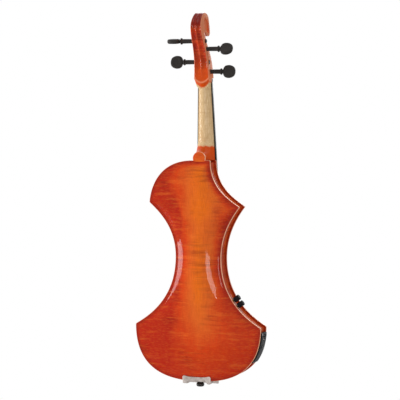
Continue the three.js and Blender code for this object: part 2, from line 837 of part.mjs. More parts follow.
// Bridge: shares of its half width and of its height over the arch, on the treble side from foot to
// shoulder, and the places of its holes.
const bridgeShares = [
  [0.4, -0.3], [1, -0.3], [1, 0.1], [0.8, 0.2], [0.62, 0.28], [0.6, 0.4], [0.74, 0.48], [0.97, 0.54],
  [1, 0.66], [0.94, 0.8],
];
const bridgeHoleShares = [[0, 0.55], [0.56, 0.68], [-0.56, 0.68]];
const bridgeArchShares = [[-0.37, 0.05], [-0.2, 0.14], [0, 0.17], [0.2, 0.14], [0.37, 0.05]];
const bridgeCrownShare = 0.86;
const bridgeFoot = -rimFace - archRise;
const bridgeRise = bridgeTop - archRise;
const bridgeFace = (x) => -rimFace - bridgeTop + sagitta(bridgeArc, Math.abs(x));
const bridge = (() => {
  const half = bridgeWidth / 2;
  const at = ([across, up]) => point(across * half, bridgeFoot - up * bridgeRise);
  const right = bridgeShares.map(at);
  const left = bridgeShares.map(([across, up]) => at([-across, up])).reverse();
  const crownHalf = bridgeCrownShare * half;
  const crown = evenly(crownHalf, -crownHalf, arcSteps).map((x) => point(x, bridgeFace(x)));
  const outlinePoints = [...right, ...crown, ...left, ...bridgeArchShares.map(at)];
  const thickness = (y) => {
    const share = THREE.MathUtils.clamp((bridgeFoot - y) / bridgeRise, 0, 1);
    return lerp(bridgeFootThickness, bridgeTopThickness, share) / 2;
  };
  const face = (side) => outlinePoints.map((p) => place(p.x, p.y, bridgeHeight + side * thickness(p.y)));
  const reach = bridgeFootThickness / 2 + cutOverrun;
  const holes = bridgeHoleShares.map(at).map((p) =>
    rod(bridgeHoleRadius, "z", bridgeHeight - reach, bridgeHeight + reach, place(p.x, p.y, 0), pinSides),
  );
  const blank = solid(skinned([face(-1), face(1)], fromAbove));
  return largest(without(blank, shifted(topShell, 0, -seatGap, 0), ...holes));
})();

// Pegs

// A peg along X with its head on the positive side, its centre in the middle of the pegbox.
const pegBody = (() => {
  const neckEnd = pegReach - pegHeadWidth / 2;
  const collar = neckEnd - pegHeadWidth / 2 - pegCollarWidth - pegTipRadius / 2;
  const profile = [
    [0, -pegTail], [pegTipRadius, -pegTail], [pegInnerRadius, headHalfWidth], [pegRadius, collar],
    [pegCollarRadius, collar + pegCollarWidth / 3], [pegCollarRadius, collar + pegCollarWidth],
    [pegTipRadius, collar + 2 * pegCollarWidth], [pegTipRadius, neckEnd], [0, neckEnd],
  ];
  const half = pegHeadWidth / 2;
  const head = new THREE.SphereGeometry(half, pinSides, arcSteps);
  head.scale(1, pegHeadThickness / pegHeadWidth, 1).translate(neckEnd, 0, 0);
  return joined(turned(profile, "x", pinSides), solid(head));
})();

function addPegs() {
  stringTable.forEach((row) => {
    const mesh = add("peg_" + row.note, pegBody, "ebony");
    mesh.position.copy(pegCentre(row));
    mesh.rotation.set(row.turn, 0, row.side < 0 ? Math.PI : 0, "ZYX");
  });
}

// Tailpiece: a frame of its own, along the strings from the saddle to the bridge, with Y towards the body.

const tailOrigin = place(0, -rimFace - tailHeight, tailLineHeight);
const tailTilt = Math.atan2(bridgeTop - tailHeight, bridgeHeight - tailOrigin.z);
const tailFrame = new THREE.Group();
tailFrame.position.copy(tailOrigin);
tailFrame.rotation.x = tailTilt;
tailFrame.updateMatrixWorld(true);
object.add(tailFrame);
const fromTail = (p) => p.clone().applyMatrix4(tailFrame.matrixWorld);

const tailFace = (x) => tailpieceDrop + sagitta(tailpieceCrown, Math.abs(x));
const tailEnd = tailpieceStart + tailpieceLength;
const tunerX = (rank) => rank * tailSpacing;

// Places of a tuner's parts along the tailpiece, measured down from its top end.
const ridgeDrop = 3;
const ridgeWidth = 2.4;
const forkDrop = 10.8;
const forkThickness = 2.2;
const ballRadius = 1.7;
const pivotDrop = 14.5;
const pivotDepth = 1.9;
const pivotRadius = 0.8;
const pivotLength = 6.6;
const leverReach = 22;
const leverDepth = 8.3;
const leverThickness = 2;
const forkRise = 4;
const screwDrop = 33.8;
const slotLow = 19.2;
const knobClearance = 1.4;
const shankGrip = 3.2;

const tailEdgeShare = 0.94;
function tailSection(height, halfWidth) {
  const across = evenly(-halfWidth, halfWidth, arcSteps);
  const top = across.map((x) => place(x, tailFace(x), height));
  const under = across.map((x) => place(x * tailEdgeShare, tailFace(x) + tailpieceThickness, height));
  return [...top, ...under.reverse()];
}

const tailWidthShares = [[0, 0.8], [0.05, 1], [0.35, 1.28], [0.7, 1.62], [0.94, 1.95], [1, 1.88]];

const ridge = (() => {
  const across = evenly(-1, 1, arcSteps).map((share) => share * (tailpieceTopWidth / 2 - ridgeWidth));
  const rise = stringLift - seatGap - stringTable[0].diameter / 2;
  const top = across.map((x) => point(x, tailFace(x) - rise));
  const under = across.map((x) => point(x, tailFace(x) + tailpieceThickness / 2)).reverse();
  return prism([...top, ...under], "z", tailEnd - ridgeDrop - ridgeWidth, tailEnd - ridgeDrop);
})();

// The lever's pivot pin, with a gap round it.
function pivotPin(x, gap) {
  const half = pivotLength / 2 + gap;
  const seat = place(0, tailFace(x) + pivotDepth, tailEnd - pivotDrop);
  return rod(pivotRadius + gap, "x", x - half, x + half, seat, pinSides);
}

// Cutters for one tuner: the lever's slot, the pin's seat and the screw's hole.
function tunerRoom(rank) {
  const x = tunerX(rank);
  const face = tailFace(x);
  const halfSlot = leverWidth / 2 + runningGap;
  const slotHigh = tailEnd - forkDrop + forkThickness + 3 * runningGap;
  const slot = block(
    place(x - halfSlot, face - forkRise, tailEnd - slotLow),
    place(x + halfSlot, face + tailpieceThickness + cutOverrun, slotHigh),
  );
  const seat = place(x, 0, tailEnd - screwDrop);
  const screw = rod(tunerShankRadius + runningGap, "y", -cutOverrun, tailpieceCrown / 2, seat, holeSides);
  return joined(slot, pivotPin(x, runningGap), screw);
}

const gutX = grooveRadius + gutRadius + seatGap;
const gutDepth = tailpieceDrop + tailpieceThickness / 2;
const gutGrip = 8;
const tailpiece = (() => {
  const half = tailpieceEndWidth / 2;
  const sections = tailWidthShares.map(([up, wide]) =>
    tailSection(tailpieceStart + up * tailpieceLength, half * wide),
  );
  const shell = solid(skinned(sections, fromAbove));
  const gutHoles = [-1, 1].map((side) => {
    const seat = place(side * gutX, gutDepth, 0);
    return rod(gutRadius + seatGap, "z", 0, tailpieceStart + gutGrip, seat, pinSides);
  });
  return without(joined(shell, ridge), ...stringTable.map((row) => tunerRoom(row.rank)), ...gutHoles);
})();

// The tuner's lever: a fork that holds the string, a pivot pin, and an arm under the tailpiece.
function tunerLever(rank) {
  const x = tunerX(rank);
  const face = tailFace(x);
  const fork = tailEnd - forkDrop;
  const forkTop = fork + forkThickness;
  const arm = tailEnd - pivotDrop - leverReach;
  const armFace = face + leverDepth;
  const armBack = armFace + leverThickness;
  const shoulder = tailEnd - slotLow + forkThickness / 2;
  const profile = [
    point(face - forkRise, fork),
    point(face - forkRise, forkTop),
    point(face + pivotDepth + pivotRadius, forkTop),
    point(armBack, fork - forkThickness),
    point(armBack, arm),
    point(armFace, arm),
    point(armFace, shoulder),
    point(face + pivotRadius, shoulder),
    point(face + pivotRadius, fork),
  ];
  const body = prism(profile, "x", x - leverWidth / 2, x + leverWidth / 2);
  const notch = block(
    place(x - leverWidth / 4, face - forkRise - cutOverrun, fork - cutOverrun),
    place(x + leverWidth / 4, face - stringLift + leverWidth / 4, forkTop + cutOverrun),
  );
  return without(joined(body, pivotPin(x, 0)), notch);
}

// The screw's shank, from its knob to the lever's arm, and the knob that turns it.
function tunerParts(rank) {
  const x = tunerX(rank);
  const face = tailFace(x);
  const seat = place(x, 0, tailEnd - screwDrop);
  const knobFace = face - knobClearance;
  const shankTop = knobFace - shankGrip;
  const shank = rod(tunerShankRadius, "y", shankTop, face + leverDepth - seatGap, seat, pinSides);
  const head = rod(tunerKnobRadius, "y", knobFace - tunerKnobHeight, knobFace, seat, holeSides);
  const boreRadius = tunerShankRadius + seatGap;
  const bore = rod(boreRadius, "y", shankTop - seatGap, knobFace + cutOverrun, seat, pinSides);
  return { shank, knob: without(head, bore) };
}

function addTailpiece() {
  add("tailpiece", tailpiece, "ebony", tailFrame);
  stringTable.forEach(({ note, rank }) => {
    const { shank, knob } = tunerParts(rank);
    add("tuner_lever_" + note, tunerLever(rank), "nickel", tailFrame);
    add("tuner_screw_" + note, shank, "nickel", tailFrame);
    add("tuner_knob_" + note, knob, "nickel", tailFrame);
  });
}

// Strings: from the ball behind the tuner's fork, over the ridge, bridge and nut, and wound on the peg.

const windingSides = 6;
const windingSteps = 16;
const ballSides = 10;
const ballRings = 6;
const stringBendSteps = 2;

function stringPath({ rank, side, diameter, lengthShare, depthShare }) {
  const radius = diameter / 2;
  const tailX = tunerX(rank);
  const tailY = tailFace(tailX) - stringLift;
  const atTail = (height) => fromTail(place(tailX, tailY, height));
  const bridgeX = rank * bridgeSpacing;
  const nutX = rank * nutSpacing;
  const overBridge = place(bridgeX, bridgeFace(bridgeX) - stringSeat - radius, bridgeHeight);
  const overNut = (height) => place(nutX, nutFace(nutX) - stringSeat - radius, height);
  const centre = pegCentre({ lengthShare, depthShare });
  const reach = pegInnerRadius + runningGap + radius;
  const start = overNut(nutHeight + nutThickness + seatGap);
  const toPeg = point(centre.y - start.y, centre.z - start.z);
  const heading = toPeg.angle() + Math.asin(reach / toPeg.length());
  const first = heading + Math.PI / 2;
  const windX = side * (windingStart + (Math.abs(rank) > 1 ? windingSpread : 0));
  const winding = evenly(0, windingTurns, Math.round(windingTurns * windingSteps)).map((turn) => {
    const across = windX + side * windingPitch * turn;
    const angle = first - 2 * Math.PI * turn;
    return place(across, centre.y + reach * Math.cos(angle), centre.z + reach * Math.sin(angle));
  });
  const straight = [
    atTail(tailEnd - forkDrop - ballRadius - seatGap),
    atTail(tailEnd - ridgeDrop - ridgeWidth / 2),
    overBridge,
    overNut(nutHeight + seatGap),
    start,
    winding[0],
  ];
  const path = [...rounded(straight, diameter, stringBendSteps).slice(0, -1), ...winding];
  return { path, winding, ball: straight[0] };
}

const strings = stringTable.map((row) => {
  const { path, winding, ball } = stringPath(row);
  const sphere = new THREE.SphereGeometry(ballRadius, ballSides, ballRings);
  const end = solid(sphere.translate(ball.x, ball.y, ball.z));
  const gap = Math.min(
    ...winding.flatMap((p, i) => winding.slice(i + windingSteps / 2).map((q) => p.distanceTo(q))),
  );
  const clear = (gap - row.diameter).toFixed(2);
  console.log("string " + row.note + ": least gap between the turns on its peg " + clear + " mm");
  return joined(wire(path, row.diameter / 2, windingSides), end);
});

// End button, saddle and tail gut

const ribEndFace = bodyBottom + plateOverhang;

const endButton = (() => {
  const groove = gutRadius + seatGap / 2;
  const head = grooveHeight - groove;
  const profile = [
    [0, 0],
    [endButtonRadius - edgeRound, 0],
    [endButtonRadius, edgeRound],
    [endButtonRadius, head - 2 * edgeRound],
    [grooveRadius, head],
    [grooveRadius, grooveHeight + groove],
    [grooveRadius + seatGap, ribEndFace - seatGap],
    [pegRadius, ribEndFace - seatGap],
    [pegInnerRadius, endButtonLength],
    [0, endButtonLength],
  ];
  return turned(profile, "z", roundSides);
})();
const endButtonTop = endButtonLength + cutOverrun;
const endButtonRoom = rod(pegRadius + seatGap, "z", 0, endButtonTop, place(0, 0, 0), roundSides);

const saddleBox = (gap) =>
  block(
    place(-saddleWidth / 2 - gap, -rimFace - saddleTop - gap, bodyBottom - gap),
    place(saddleWidth / 2 + gap, -ribHalf - seatGap + gap, bodyBottom + saddleDepth + gap),
  );

const tailGut = (() => {
  const inTail = (side, height) => fromTail(place(side * gutX, gutDepth, height));
  const overSaddle = -rimFace - saddleTop - seatGap - gutRadius;
  const strand = (side) => [
    inTail(side, tailpieceStart + gutGrip - seatGap),
    inTail(side, tailpieceStart - gutRadius),
    place(side * gutX, overSaddle, bodyBottom + saddleDepth / 2),
    place(side * gutX, overSaddle, grooveHeight),
    place(side * gutX, 0, grooveHeight),
  ];
  const round = evenly(0, Math.PI, arcSteps).map((angle) =>
    place(gutX * Math.cos(angle), gutX * Math.sin(angle), grooveHeight),
  );
  const bent = (side) => rounded(strand(side), gutRadius * 2, bendSteps).slice(0, -1);
  return wire([...bent(1), ...round, ...bent(-1).reverse()], gutRadius, cordSides);
})();

// Chin rest: a dished plate over the tailpiece on two feet, with its clamp round the lower edge of the body.
// The outline is in shares of the chin rest's length to the bass side and its height up the body.
const chinRestShares = [
  [0.36, 0.06], [0.4, 0.22], [0.35, 0.37], [0.18, 0.44], [0, 0.46], [-0.15, 0.52],
  [-0.28, 0.66], [-0.42, 0.86], [-0.58, 0.98], [-0.74, 0.98], [-0.85, 0.86], [-0.87, 0.68],
  [-0.8, 0.49], [-0.68, 0.32], [-0.53, 0.17], [-0.36, 0.06], [-0.17, 0], [0.1, 0], [0.27, 0],
];
const chinRestCentreShares = [-0.42, 0.45];
const chinRestRingShares = [0.93, 1, 1, 0.96, 0.88, 0.6, 0.25];
const dishSlopeShare = 0.8;
const chinRestSteps = 32;
const chinRest = (() => {
  const low = bodyBottom + chinRestLift;
  const at = ([across, up]) => point(across * chinRestLength, low + up * chinRestHeight);
  const line = chinRestShares.map(at);
  const curve = new THREE.CatmullRomCurve3(line.map((p) => place(p.x, 0, p.y)), true);
  const edge = curve.getSpacedPoints(chinRestSteps).slice(0, -1);
  const centre = at(chinRestCentreShares);
  const under = -rimFace - chinRestRise;
  const top = under - chinRestThickness;
  const dished = [top + edgeRound, top + dishSlopeShare * chinRestDish, top + chinRestDish];
  const faces = [under, under - edgeRound, top + edgeRound * 2, top, ...dished];
  const ring = (face, i) => {
    const share = chinRestRingShares[i];
    return edge.map((p) => place(lerp(centre.x, p.x, share), face, lerp(centre.y, p.z, share)));
  };
  const plate = solid(skinned(faces.map(ring), fromBack));
  const feet = [-1, 1].map((side) => {
    const middle = (side * clampSpacing) / 2;
    return block(
      place(middle - chinRestFootWidth / 2, under - edgeRound, bodyBottom + edgeRound),
      place(middle + chinRestFootWidth / 2, -rimFace, bodyBottom + edgeRound + chinRestFootLength),
    );
  });
  const roomForTop = shifted(topShell, 0, -seatGap, 0);
  return largest(without(joined(plate, ...feet), roomForTop, saddleBox(seatGap)));
})();

const barrelHeight = bodyBottom - clampDrop;
const clampPosts = [-1, 1].map((side) => place((side * clampSpacing) / 2, 0, barrelHeight));

const clampBarrels = clampPosts.map((post) =>
  without(
    rod(barrelRadius, "y", -barrelLength / 2, barrelLength / 2, post, holeSides),
    rod(clampRodRadius + runningGap, "y", -barrelLength, barrelLength, post, pinSides),
  ),
);

// The foot on the back: a strip over the edge, with a raised ear and a short leg at each end, and a rod from
// each leg.
const clampFoot = (() => {
  const half = clampFootWidth / 2;
  const legIn = half - clampRodRadius * 4;
  const low = barrelHeight - clampRodRadius - edgeRound / 2;
  const high = low + clampFootHeight;
  const stripLow = low + clampStripRise;
  const stripHigh = stripLow + clampStripHeight;
  const right = [
    point(legIn - edgeRound, stripLow),
    point(legIn, low),
    point(half - edgeRound, low),
    point(half, low + edgeRound),
    point(half, high - 2 * edgeRound),
    point(half - edgeRound, high - edgeRound / 2),
    point((half + legIn) / 2, high),
    point(legIn, high - edgeRound),
    point(half / 2, stripHigh + edgeRound / 2),
  ];
  const left = right.map(mirrored).reverse();
  const shape = [...right, point(0, stripHigh), ...left];
  const inner = rimFace + seatGap;
  const rodEnd = inner + clampPlate / 2;
  const rods = clampPosts.map((post) => rod(clampRodRadius, "y", rodGap / 2, rodEnd, post, pinSides));
  const strip = prism(shape, "y", inner, inner + clampPlate);
  return joined(without(strip, shifted(backShell, 0, seatGap, 0)), ...rods);
})();

// The bracket under the chin rest: two legs joined by a bar that passes below the tail gut, with two rods.
const clampBracket = (() => {
  const half = (clampSpacing + chinRestFootWidth) / 2;
  const barTop = grooveHeight - gutRadius - seatGap * 2;
  const low = barTop - clampBarHeight;
  const legIn = saddleWidth / 2 + seatGap * 2;
  const high = bodyBottom + edgeRound - seatGap;
  const shape = [
    point(-half, low),
    point(half, low),
    point(half, high),
    point(legIn, high),
    point(legIn, barTop),
    point(-legIn, barTop),
    point(-legIn, high),
    point(-half, high),
  ];
  const inner = -rimFace - seatGap * 6;
  const rodEnd = inner - clampPlate / 2;
  const rods = clampPosts.map((post) => rod(clampRodRadius, "y", rodEnd, -rodGap / 2, post, pinSides));
  return joined(prism(shape, "y", inner - clampPlate, inner), ...rods);
})();

// Sound post and bass bar, both fitted to the insides of the plates

const soundPost = (() => {
  const foot = place(soundPostX, 0, bridgeHeight - soundPostDrop);
  const reach = rimFace + archRise;
  const post = rod(soundPostRadius, "y", -reach, reach, foot, holeSides);
  return largest(without(post, shifted(backShell, 0, -seatGap, 0), shifted(topShell, 0, seatGap, 0)));
})();

const bassBarTaperShare = 0.4;
const bassBar = (() => {
  const middle = bodyBottom + bodyLength / 2;
  const front = -rimFace - archRise;
  const inner = front + plateThickness + bassBarDepth + bassBarEndDepth;
  const ends = front + plateThickness + bassBarEndDepth + bassBarDepth * bassBarTaperShare;
  const half = bassBarLength / 2;
  const profile = [
    point(front, middle - half),
    point(ends, middle - half),
    point(inner, middle - half / 2),
    point(inner, middle + half / 2),
    point(ends, middle + half),
    point(front, middle + half),
  ];
  const bar = prism(profile, "x", -bassBarX - bassBarWidth / 2, -bassBarX + bassBarWidth / 2);
  return largest(without(bar, shifted(topShell, 0, seatGap, 0)));
})();

// Electronics

// A frame on the outline at a height: X points out of the body, Y to the back and Z along the rib.
function ribFrame(line, height) {
  const i = line.findIndex((p, k) => k > 0 && (p.y - height) * (line[k - 1].y - height) <= 0);
  const share = (height - line[i - 1].y) / (line[i].y - line[i - 1].y);
  const origin = line[i - 1].clone().lerp(line[i], share);
  const heading = line[i].clone().sub(line[i - 1]).normalize();
  const outward = place(heading.y, 0, -heading.x);
  const up = place(0, 1, 0);
  const basis = new THREE.Matrix4().makeBasis(outward, up, outward.clone().cross(up));
  return basis.setPosition(origin.x, 0, origin.y);
}

const inFrame = (frame, body) => body.transform(frame.toArray());
const lowerLine = outline[0];
const doorFrame = ribFrame(lowerLine, doorHeight);
const panelFrame = ribFrame(lowerLine, (panelLow + panelHigh) / 2);

// A strip that follows the bass lower rib between two insets.
function ribStrip(outer, inner, half) {
  const bassHalf = (inset) => moved(lowerLine, inset).slice(0, outlineSteps);
  return prism([...bassHalf(outer), ...bassHalf(inner).reverse()], "y", -half, half);
}

// A box in a frame on the rib, centred on the frame's Y and Z.
const frameBox = (frame, low, high, halfWidth, halfLength) =>
  inFrame(frame, block(place(low, -halfWidth, -halfLength), place(high, halfWidth, halfLength)));

const ribCurveShare = 0.7;
const doorEdgeFall = (doorLength * doorLength) / (8 * lowerHalfWidth * ribCurveShare);
const hingeDepth = panelProud - doorEdgeFall - doorThickness / 2;
const hingeSeat = place(hingeDepth, 0, doorLength / 2 - hingeRadius);
const hingeRod = (gap) => {
  const half = doorHalfWidth + gap;
  return inFrame(doorFrame, rod(hingeRadius + gap, "y", -half, half, hingeSeat, pinSides));
};

const batteryFace = -doorEdgeFall - runningGap - doorThickness / 2;
const batteryBack = batteryFace - batteryLength - batteryTerminal;
const sleeveHalves = [batteryDepth, batteryWidth].map((size) => size / 2 + seatGap + sleeveWall);
const sleeveRoomHalves = sleeveHalves.map((half) => half + seatGap);
const sleeveRoom = frameBox(doorFrame, batteryBack - seatGap * 2 - sleeveWall, 0, ...sleeveRoomHalves);

const doorBody = (() => {
  const strip = ribStrip(-panelProud, -panelProud + doorThickness, doorHalfWidth);
  const span = block(
    place(-lowerHalfWidth, -doorHalfWidth, -doorLength / 2),
    place(lowerHalfWidth / 4, doorHalfWidth, hingeSeat.z),
  );
  const gripTop = panelProud - doorEdgeFall * ribCurveShare + doorGripHeight;
  const grip = block(
    place(gripTop - doorGripHeight - doorThickness / 2, -doorGripWidth / 2, -doorLength / 2 + seatGap),
    place(gripTop, doorGripWidth / 2, -doorLength / 2 + doorGripLength),
  );
  return joined(strip.intersect(inFrame(doorFrame, span)), hingeRod(0), inFrame(doorFrame, grip));
})();

const jackFlushShare = 0.9;
const jackFace = ribFrame(lowerLine, jackHeight).elements[12] - panelProud * jackFlushShare;
const jackCentre = place(0, 0, jackHeight);
const jack = without(
  joined(
    rod(jackRadius, "x", jackFace, jackFace + jackFlange, jackCentre, roundSides),
    rod(jackBodyRadius, "x", jackFace, jackFace + jackLength, jackCentre, roundSides),
  ),
  rod(jackBore, "x", jackFace - cutOverrun, jackFace + jackBoreLength, jackCentre, roundSides),
);
const jackReach = jackFace + jackLength + cutOverrun;
const jackRoomFace = jackFace - 2 * cutOverrun;
const jackRoom = rod(jackRadius + seatGap, "x", jackRoomFace, jackReach, jackCentre, roundSides);

const panel = (() => {
  const halfLength = (panelHigh - panelLow + panelProud) / 2;
  const span = frameBox(panelFrame, -ribHeight, ribHeight, panelHalfWidth, halfLength);
  const slab = ribStrip(-panelProud, plateOverhang - seatGap, panelHalfWidth).intersect(span);
  const sleeve = frameBox(doorFrame, batteryBack - seatGap - sleeveWall, -doorThickness, ...sleeveHalves);
  const cavityHalves = sleeveHalves.map((half) => half - sleeveWall);
  const cavity = frameBox(doorFrame, batteryBack - seatGap, ribHeight, ...cavityHalves);
  const lidHalf = doorHalfWidth + runningGap;
  const lid = ribStrip(-panelProud - cutOverrun, -panelProud + doorThickness + runningGap, lidHalf);
  const lidSpan = frameBox(doorFrame, -ribHeight, ribHeight, lidHalf, doorLength / 2 + runningGap);
  return without(joined(slab, sleeve), cavity, lid.intersect(lidSpan), hingeRod(runningGap), jackRoom);
})();

const battery = (() => {
  const base = batteryFace - batteryLength;
  const caseBody = frameBox(doorFrame, base, batteryFace, batteryDepth / 2, batteryWidth / 2);
  const terminals = [-1, 1].map((side) => {
    const seat = place(0, 0, (side * batteryWidth) / 4);
    const radius = batteryTerminal * 1.5;
    return inFrame(doorFrame, rod(radius, "x", batteryBack, base + cutOverrun, seat, pinSides));
  });
  return joined(caseBody, ...terminals);
})();

const knobBoreShare = 0.7;
const knobFrame = ribFrame(outline[4], knobsHeight);
const knobPlaces = [-1, 1].map((side) => place(0, 0, (side * knobSpacing) / 2));
const knobLow = -plateOverhang + knobStandoff;
const knobBoreEnd = knobLow + knobHeight * knobBoreShare;
const ribInside = -ribInner - seatGap;
const knobShape = (seat) =>
  without(
    rod(knobRadius, "x", knobLow, knobLow + knobHeight, seat, roundSides),
    rod(knobShaftRadius + runningGap, "x", knobLow - cutOverrun, knobBoreEnd, seat, holeSides),
  );
const knobs = knobPlaces.map((seat) => inFrame(knobFrame, knobShape(seat)));
const knobRoomLow = ribInside - cutOverrun;
const knobRooms = knobPlaces.map((seat) =>
  inFrame(knobFrame, rod(knobShaftRadius + seatGap, "x", knobRoomLow, cutOverrun, seat, holeSides)),
);
const preamp = (() => {
  const boardFront = ribInside - potDepth;
  const board = block(
    place(boardFront - boardThickness, -boardWidth / 2, -boardLength / 2),
    place(boardFront, boardWidth / 2, boardLength / 2),
  );
  const pots = knobPlaces.flatMap((seat) => [
    rod(potRadius, "x", boardFront - boardThickness / 2, ribInside, seat, holeSides),
    rod(knobShaftRadius, "x", ribInside - potDepth / 2, knobBoreEnd - seatGap, seat, pinSides),
  ]);
  return inFrame(knobFrame, joined(board, ...pots));
})();

// The pickup on the tail side of the bridge, and its lead through the bass sound hole to the preamp board.
const pickupRiseShare = 0.29;
const pickupBack = bridgeHeight - bridgeFootThickness / 2 - seatGap;
const pickupFace = bridgeFoot - bridgeRise * pickupRiseShare;
const pickup = block(
  place(-pickupLength / 2, pickupFace - pickupWidth, pickupBack - pickupThickness),
  place(pickupLength / 2, pickupFace, pickupBack),
);
const leadBendShare = 0.25;
const lead = (() => {
  const start = place(
    -pickupLength / 2 - seatGap, pickupFace - pickupWidth / 2, pickupBack - pickupThickness / 2,
  );
  const boardMiddle = ribInside - potDepth - boardThickness / 2;
  const end = (gap) => place(boardMiddle, 0, -boardLength / 2 - gap).applyMatrix4(knobFrame);
  const hole = soundHoleMiddle();
  const points = [
    start,
    place(lerp(start.x, -hole.x, leadBendShare), start.y, start.z),
    place(-hole.x, -rimFace - archRise, hole.y + leadRadius),
    place(-hole.x, -ribHalf, hole.y),
    end(ribHalf),
    end(seatGap),
  ];
  return wire(rounded(points, ribThickness * 3, bendSteps), leadRadius, cordSides);
})();

// Rooms in the body for what passes through it
const trebleTenon = tenonBox(seatGap);
const topPlate = without(topShell, soundHole(1), soundHole(-1), trebleTenon, saddleBox(seatGap));
const ribRooms = {
  rib_lower: [sleeveRoom, jackRoom, endButtonRoom],
  rib_upper: [trebleTenon],
  rib_waist_bass: knobRooms,
};
const neckBlock = block(
  place(-cutawayTopX, -ribFace, bodyTop - liningOuter - neckBlockDepth),
  place(neckBlockWidth - cutawayTopX, ribFace, bodyTop),
).intersect(insidePrism);
const endBlock = block(
  place(-endBlockWidth / 2, -ribFace, bodyBottom),
  place(endBlockWidth / 2, ribFace, bodyBottom + liningOuter + endBlockDepth),
).intersect(insidePrism);
const topLining = backLining.mirror([0, 1, 0]);
const blockNames = ["treble_lower", "treble_upper", "", "bass_upper", "bass_lower"];

function addBody() {
  add("back_plate", backPlate, "backMaple");
  add("top_plate", topPlate, "topSpruce");
  stretchNames.forEach((name, k) => {
    add(name, largest(without(ribs[k], ...(ribRooms[name] ?? []))), "ribMaple");
  });
  add("lining_back", largest(without(backLining, trebleTenon, sleeveRoom)), "bareSpruce");
  add("lining_top", largest(without(topLining, trebleTenon, sleeveRoom)), "bareSpruce");
  add("neck_block", largest(without(neckBlock, trebleTenon, ...liningRooms)), "bareSpruce");
  add("end_block", largest(without(endBlock, endButtonRoom, ...liningRooms)), "bareSpruce");
  blockNames.forEach((name, k) => {
    if (name) add("corner_block_" + name, largest(without(cornerBlock(k), jackRoom)), "bareSpruce");
  });
  add("sound_post", soundPost, "bareSpruce");
  add("bass_bar", bassBar, "bareSpruce");
}

function addFittings() {
  add("neck", neck, "neckMaple");
  add("fingerboard", fingerboard, "ebony");
  add("nut", nut, "ebony");
  addPegs();
  stringTable.forEach(({ note }, i) => add("string_" + note, strings[i], "steel"));
  add("bridge", bridge, "bareMaple");
  addTailpiece();
  add("tail_gut", tailGut, "gut");
  add("saddle", saddleBox(0), "ebony");
  add("end_button", endButton, "ebony");
}

function addChinRest() {
  add("chin_rest", chinRest, "ebony");
  add("clamp_bracket", clampBracket, "nickel");
  add("clamp_barrel_bass", clampBarrels[0], "nickel");
  add("clamp_barrel_treble", clampBarrels[1], "nickel");
  add("clamp_foot", clampFoot, "nickel");
}

function addElectronics() {
  add("bridge_pickup", pickup, "blackPlastic");
  add("pickup_lead", lead, "blackPlastic");
  add("electronics_panel", panel, "blackPlastic");
  add("battery_door", doorBody, "blackPlastic");
  add("battery", battery, "blackPlastic");
  add("output_jack", jack, "blackPlastic");
  add("preamp_board", preamp, "board");
  add("volume_knob", knobs[0], "blackPlastic");
  add("tone_knob", knobs[1], "blackPlastic");
}

addBody();
addFittings();
addChinRest();
addElectronics();

export default object;
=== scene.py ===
# The looks of an electric violin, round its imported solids.
# Shapes are written in millimetres in the solids' frame, from the middle of the end button's tip:
# +Z up to the head, +Y to the back, +X to the treble side. piece() turns them into metres.
import collections
import functools
import math

import bmesh
import bpy
import numpy as np
from mathutils import Matrix, Vector


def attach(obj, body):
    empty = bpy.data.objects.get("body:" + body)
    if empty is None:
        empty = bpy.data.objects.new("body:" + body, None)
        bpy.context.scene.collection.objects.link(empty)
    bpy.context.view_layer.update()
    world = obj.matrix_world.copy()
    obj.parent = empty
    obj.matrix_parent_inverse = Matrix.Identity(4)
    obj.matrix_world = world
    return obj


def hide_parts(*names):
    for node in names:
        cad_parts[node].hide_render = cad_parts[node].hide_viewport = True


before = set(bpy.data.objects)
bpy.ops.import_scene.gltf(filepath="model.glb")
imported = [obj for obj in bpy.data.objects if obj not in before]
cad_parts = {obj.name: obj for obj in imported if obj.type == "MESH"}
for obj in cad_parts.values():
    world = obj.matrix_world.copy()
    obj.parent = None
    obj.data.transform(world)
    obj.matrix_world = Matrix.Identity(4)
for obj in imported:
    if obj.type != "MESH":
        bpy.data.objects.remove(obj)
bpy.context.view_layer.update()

MM = 0.001
ROOT = "violin"


# ---------------------------------------------------------------- camera, lights and surroundings

TARGET = Vector((3.4, 0, 304.5)) * MM
CAMERA_DISTANCE = 2.5
CAMERA_TURN = math.radians(17.5)
CAMERA_RISE = math.radians(2.0)
CAMERA_ROLL = math.radians(0.5)
SENSOR_WIDTH = 36
FOCAL_LENGTH = SENSOR_WIDTH * 1537 / 400


def linked(name, data):
    """A new object in the scene."""
    thing = bpy.data.objects.new(name, data)
    bpy.context.scene.collection.objects.link(thing)
    return thing


def away(turn, rise):
    """The way out from the target at a turn from straight behind and a rise above the level."""
    return Vector(
        (-math.sin(turn) * math.cos(rise), math.cos(turn) * math.cos(rise), math.sin(rise))
    )


def along(direction):
    """Turns Z onto a direction."""
    return Vector(direction).to_track_quat("Z", "Y").to_matrix().to_4x4()


def add_camera():
    data = bpy.data.cameras.new("camera")
    data.sensor_width = SENSOR_WIDTH
    data.lens = FOCAL_LENGTH
    camera = linked("camera", data)
    back = away(CAMERA_TURN, CAMERA_RISE)
    right = (-back).cross(Vector((0, 0, 1))).normalized()
    up = right.cross(-back)
    across = right * math.cos(CAMERA_ROLL) + up * math.sin(CAMERA_ROLL)
    upward = up * math.cos(CAMERA_ROLL) - right * math.sin(CAMERA_ROLL)
    turn = Matrix((across, upward, back)).transposed().to_4x4()
    camera.matrix_world = Matrix.Translation(TARGET + back * CAMERA_DISTANCE) @ turn
    bpy.context.scene.camera = camera


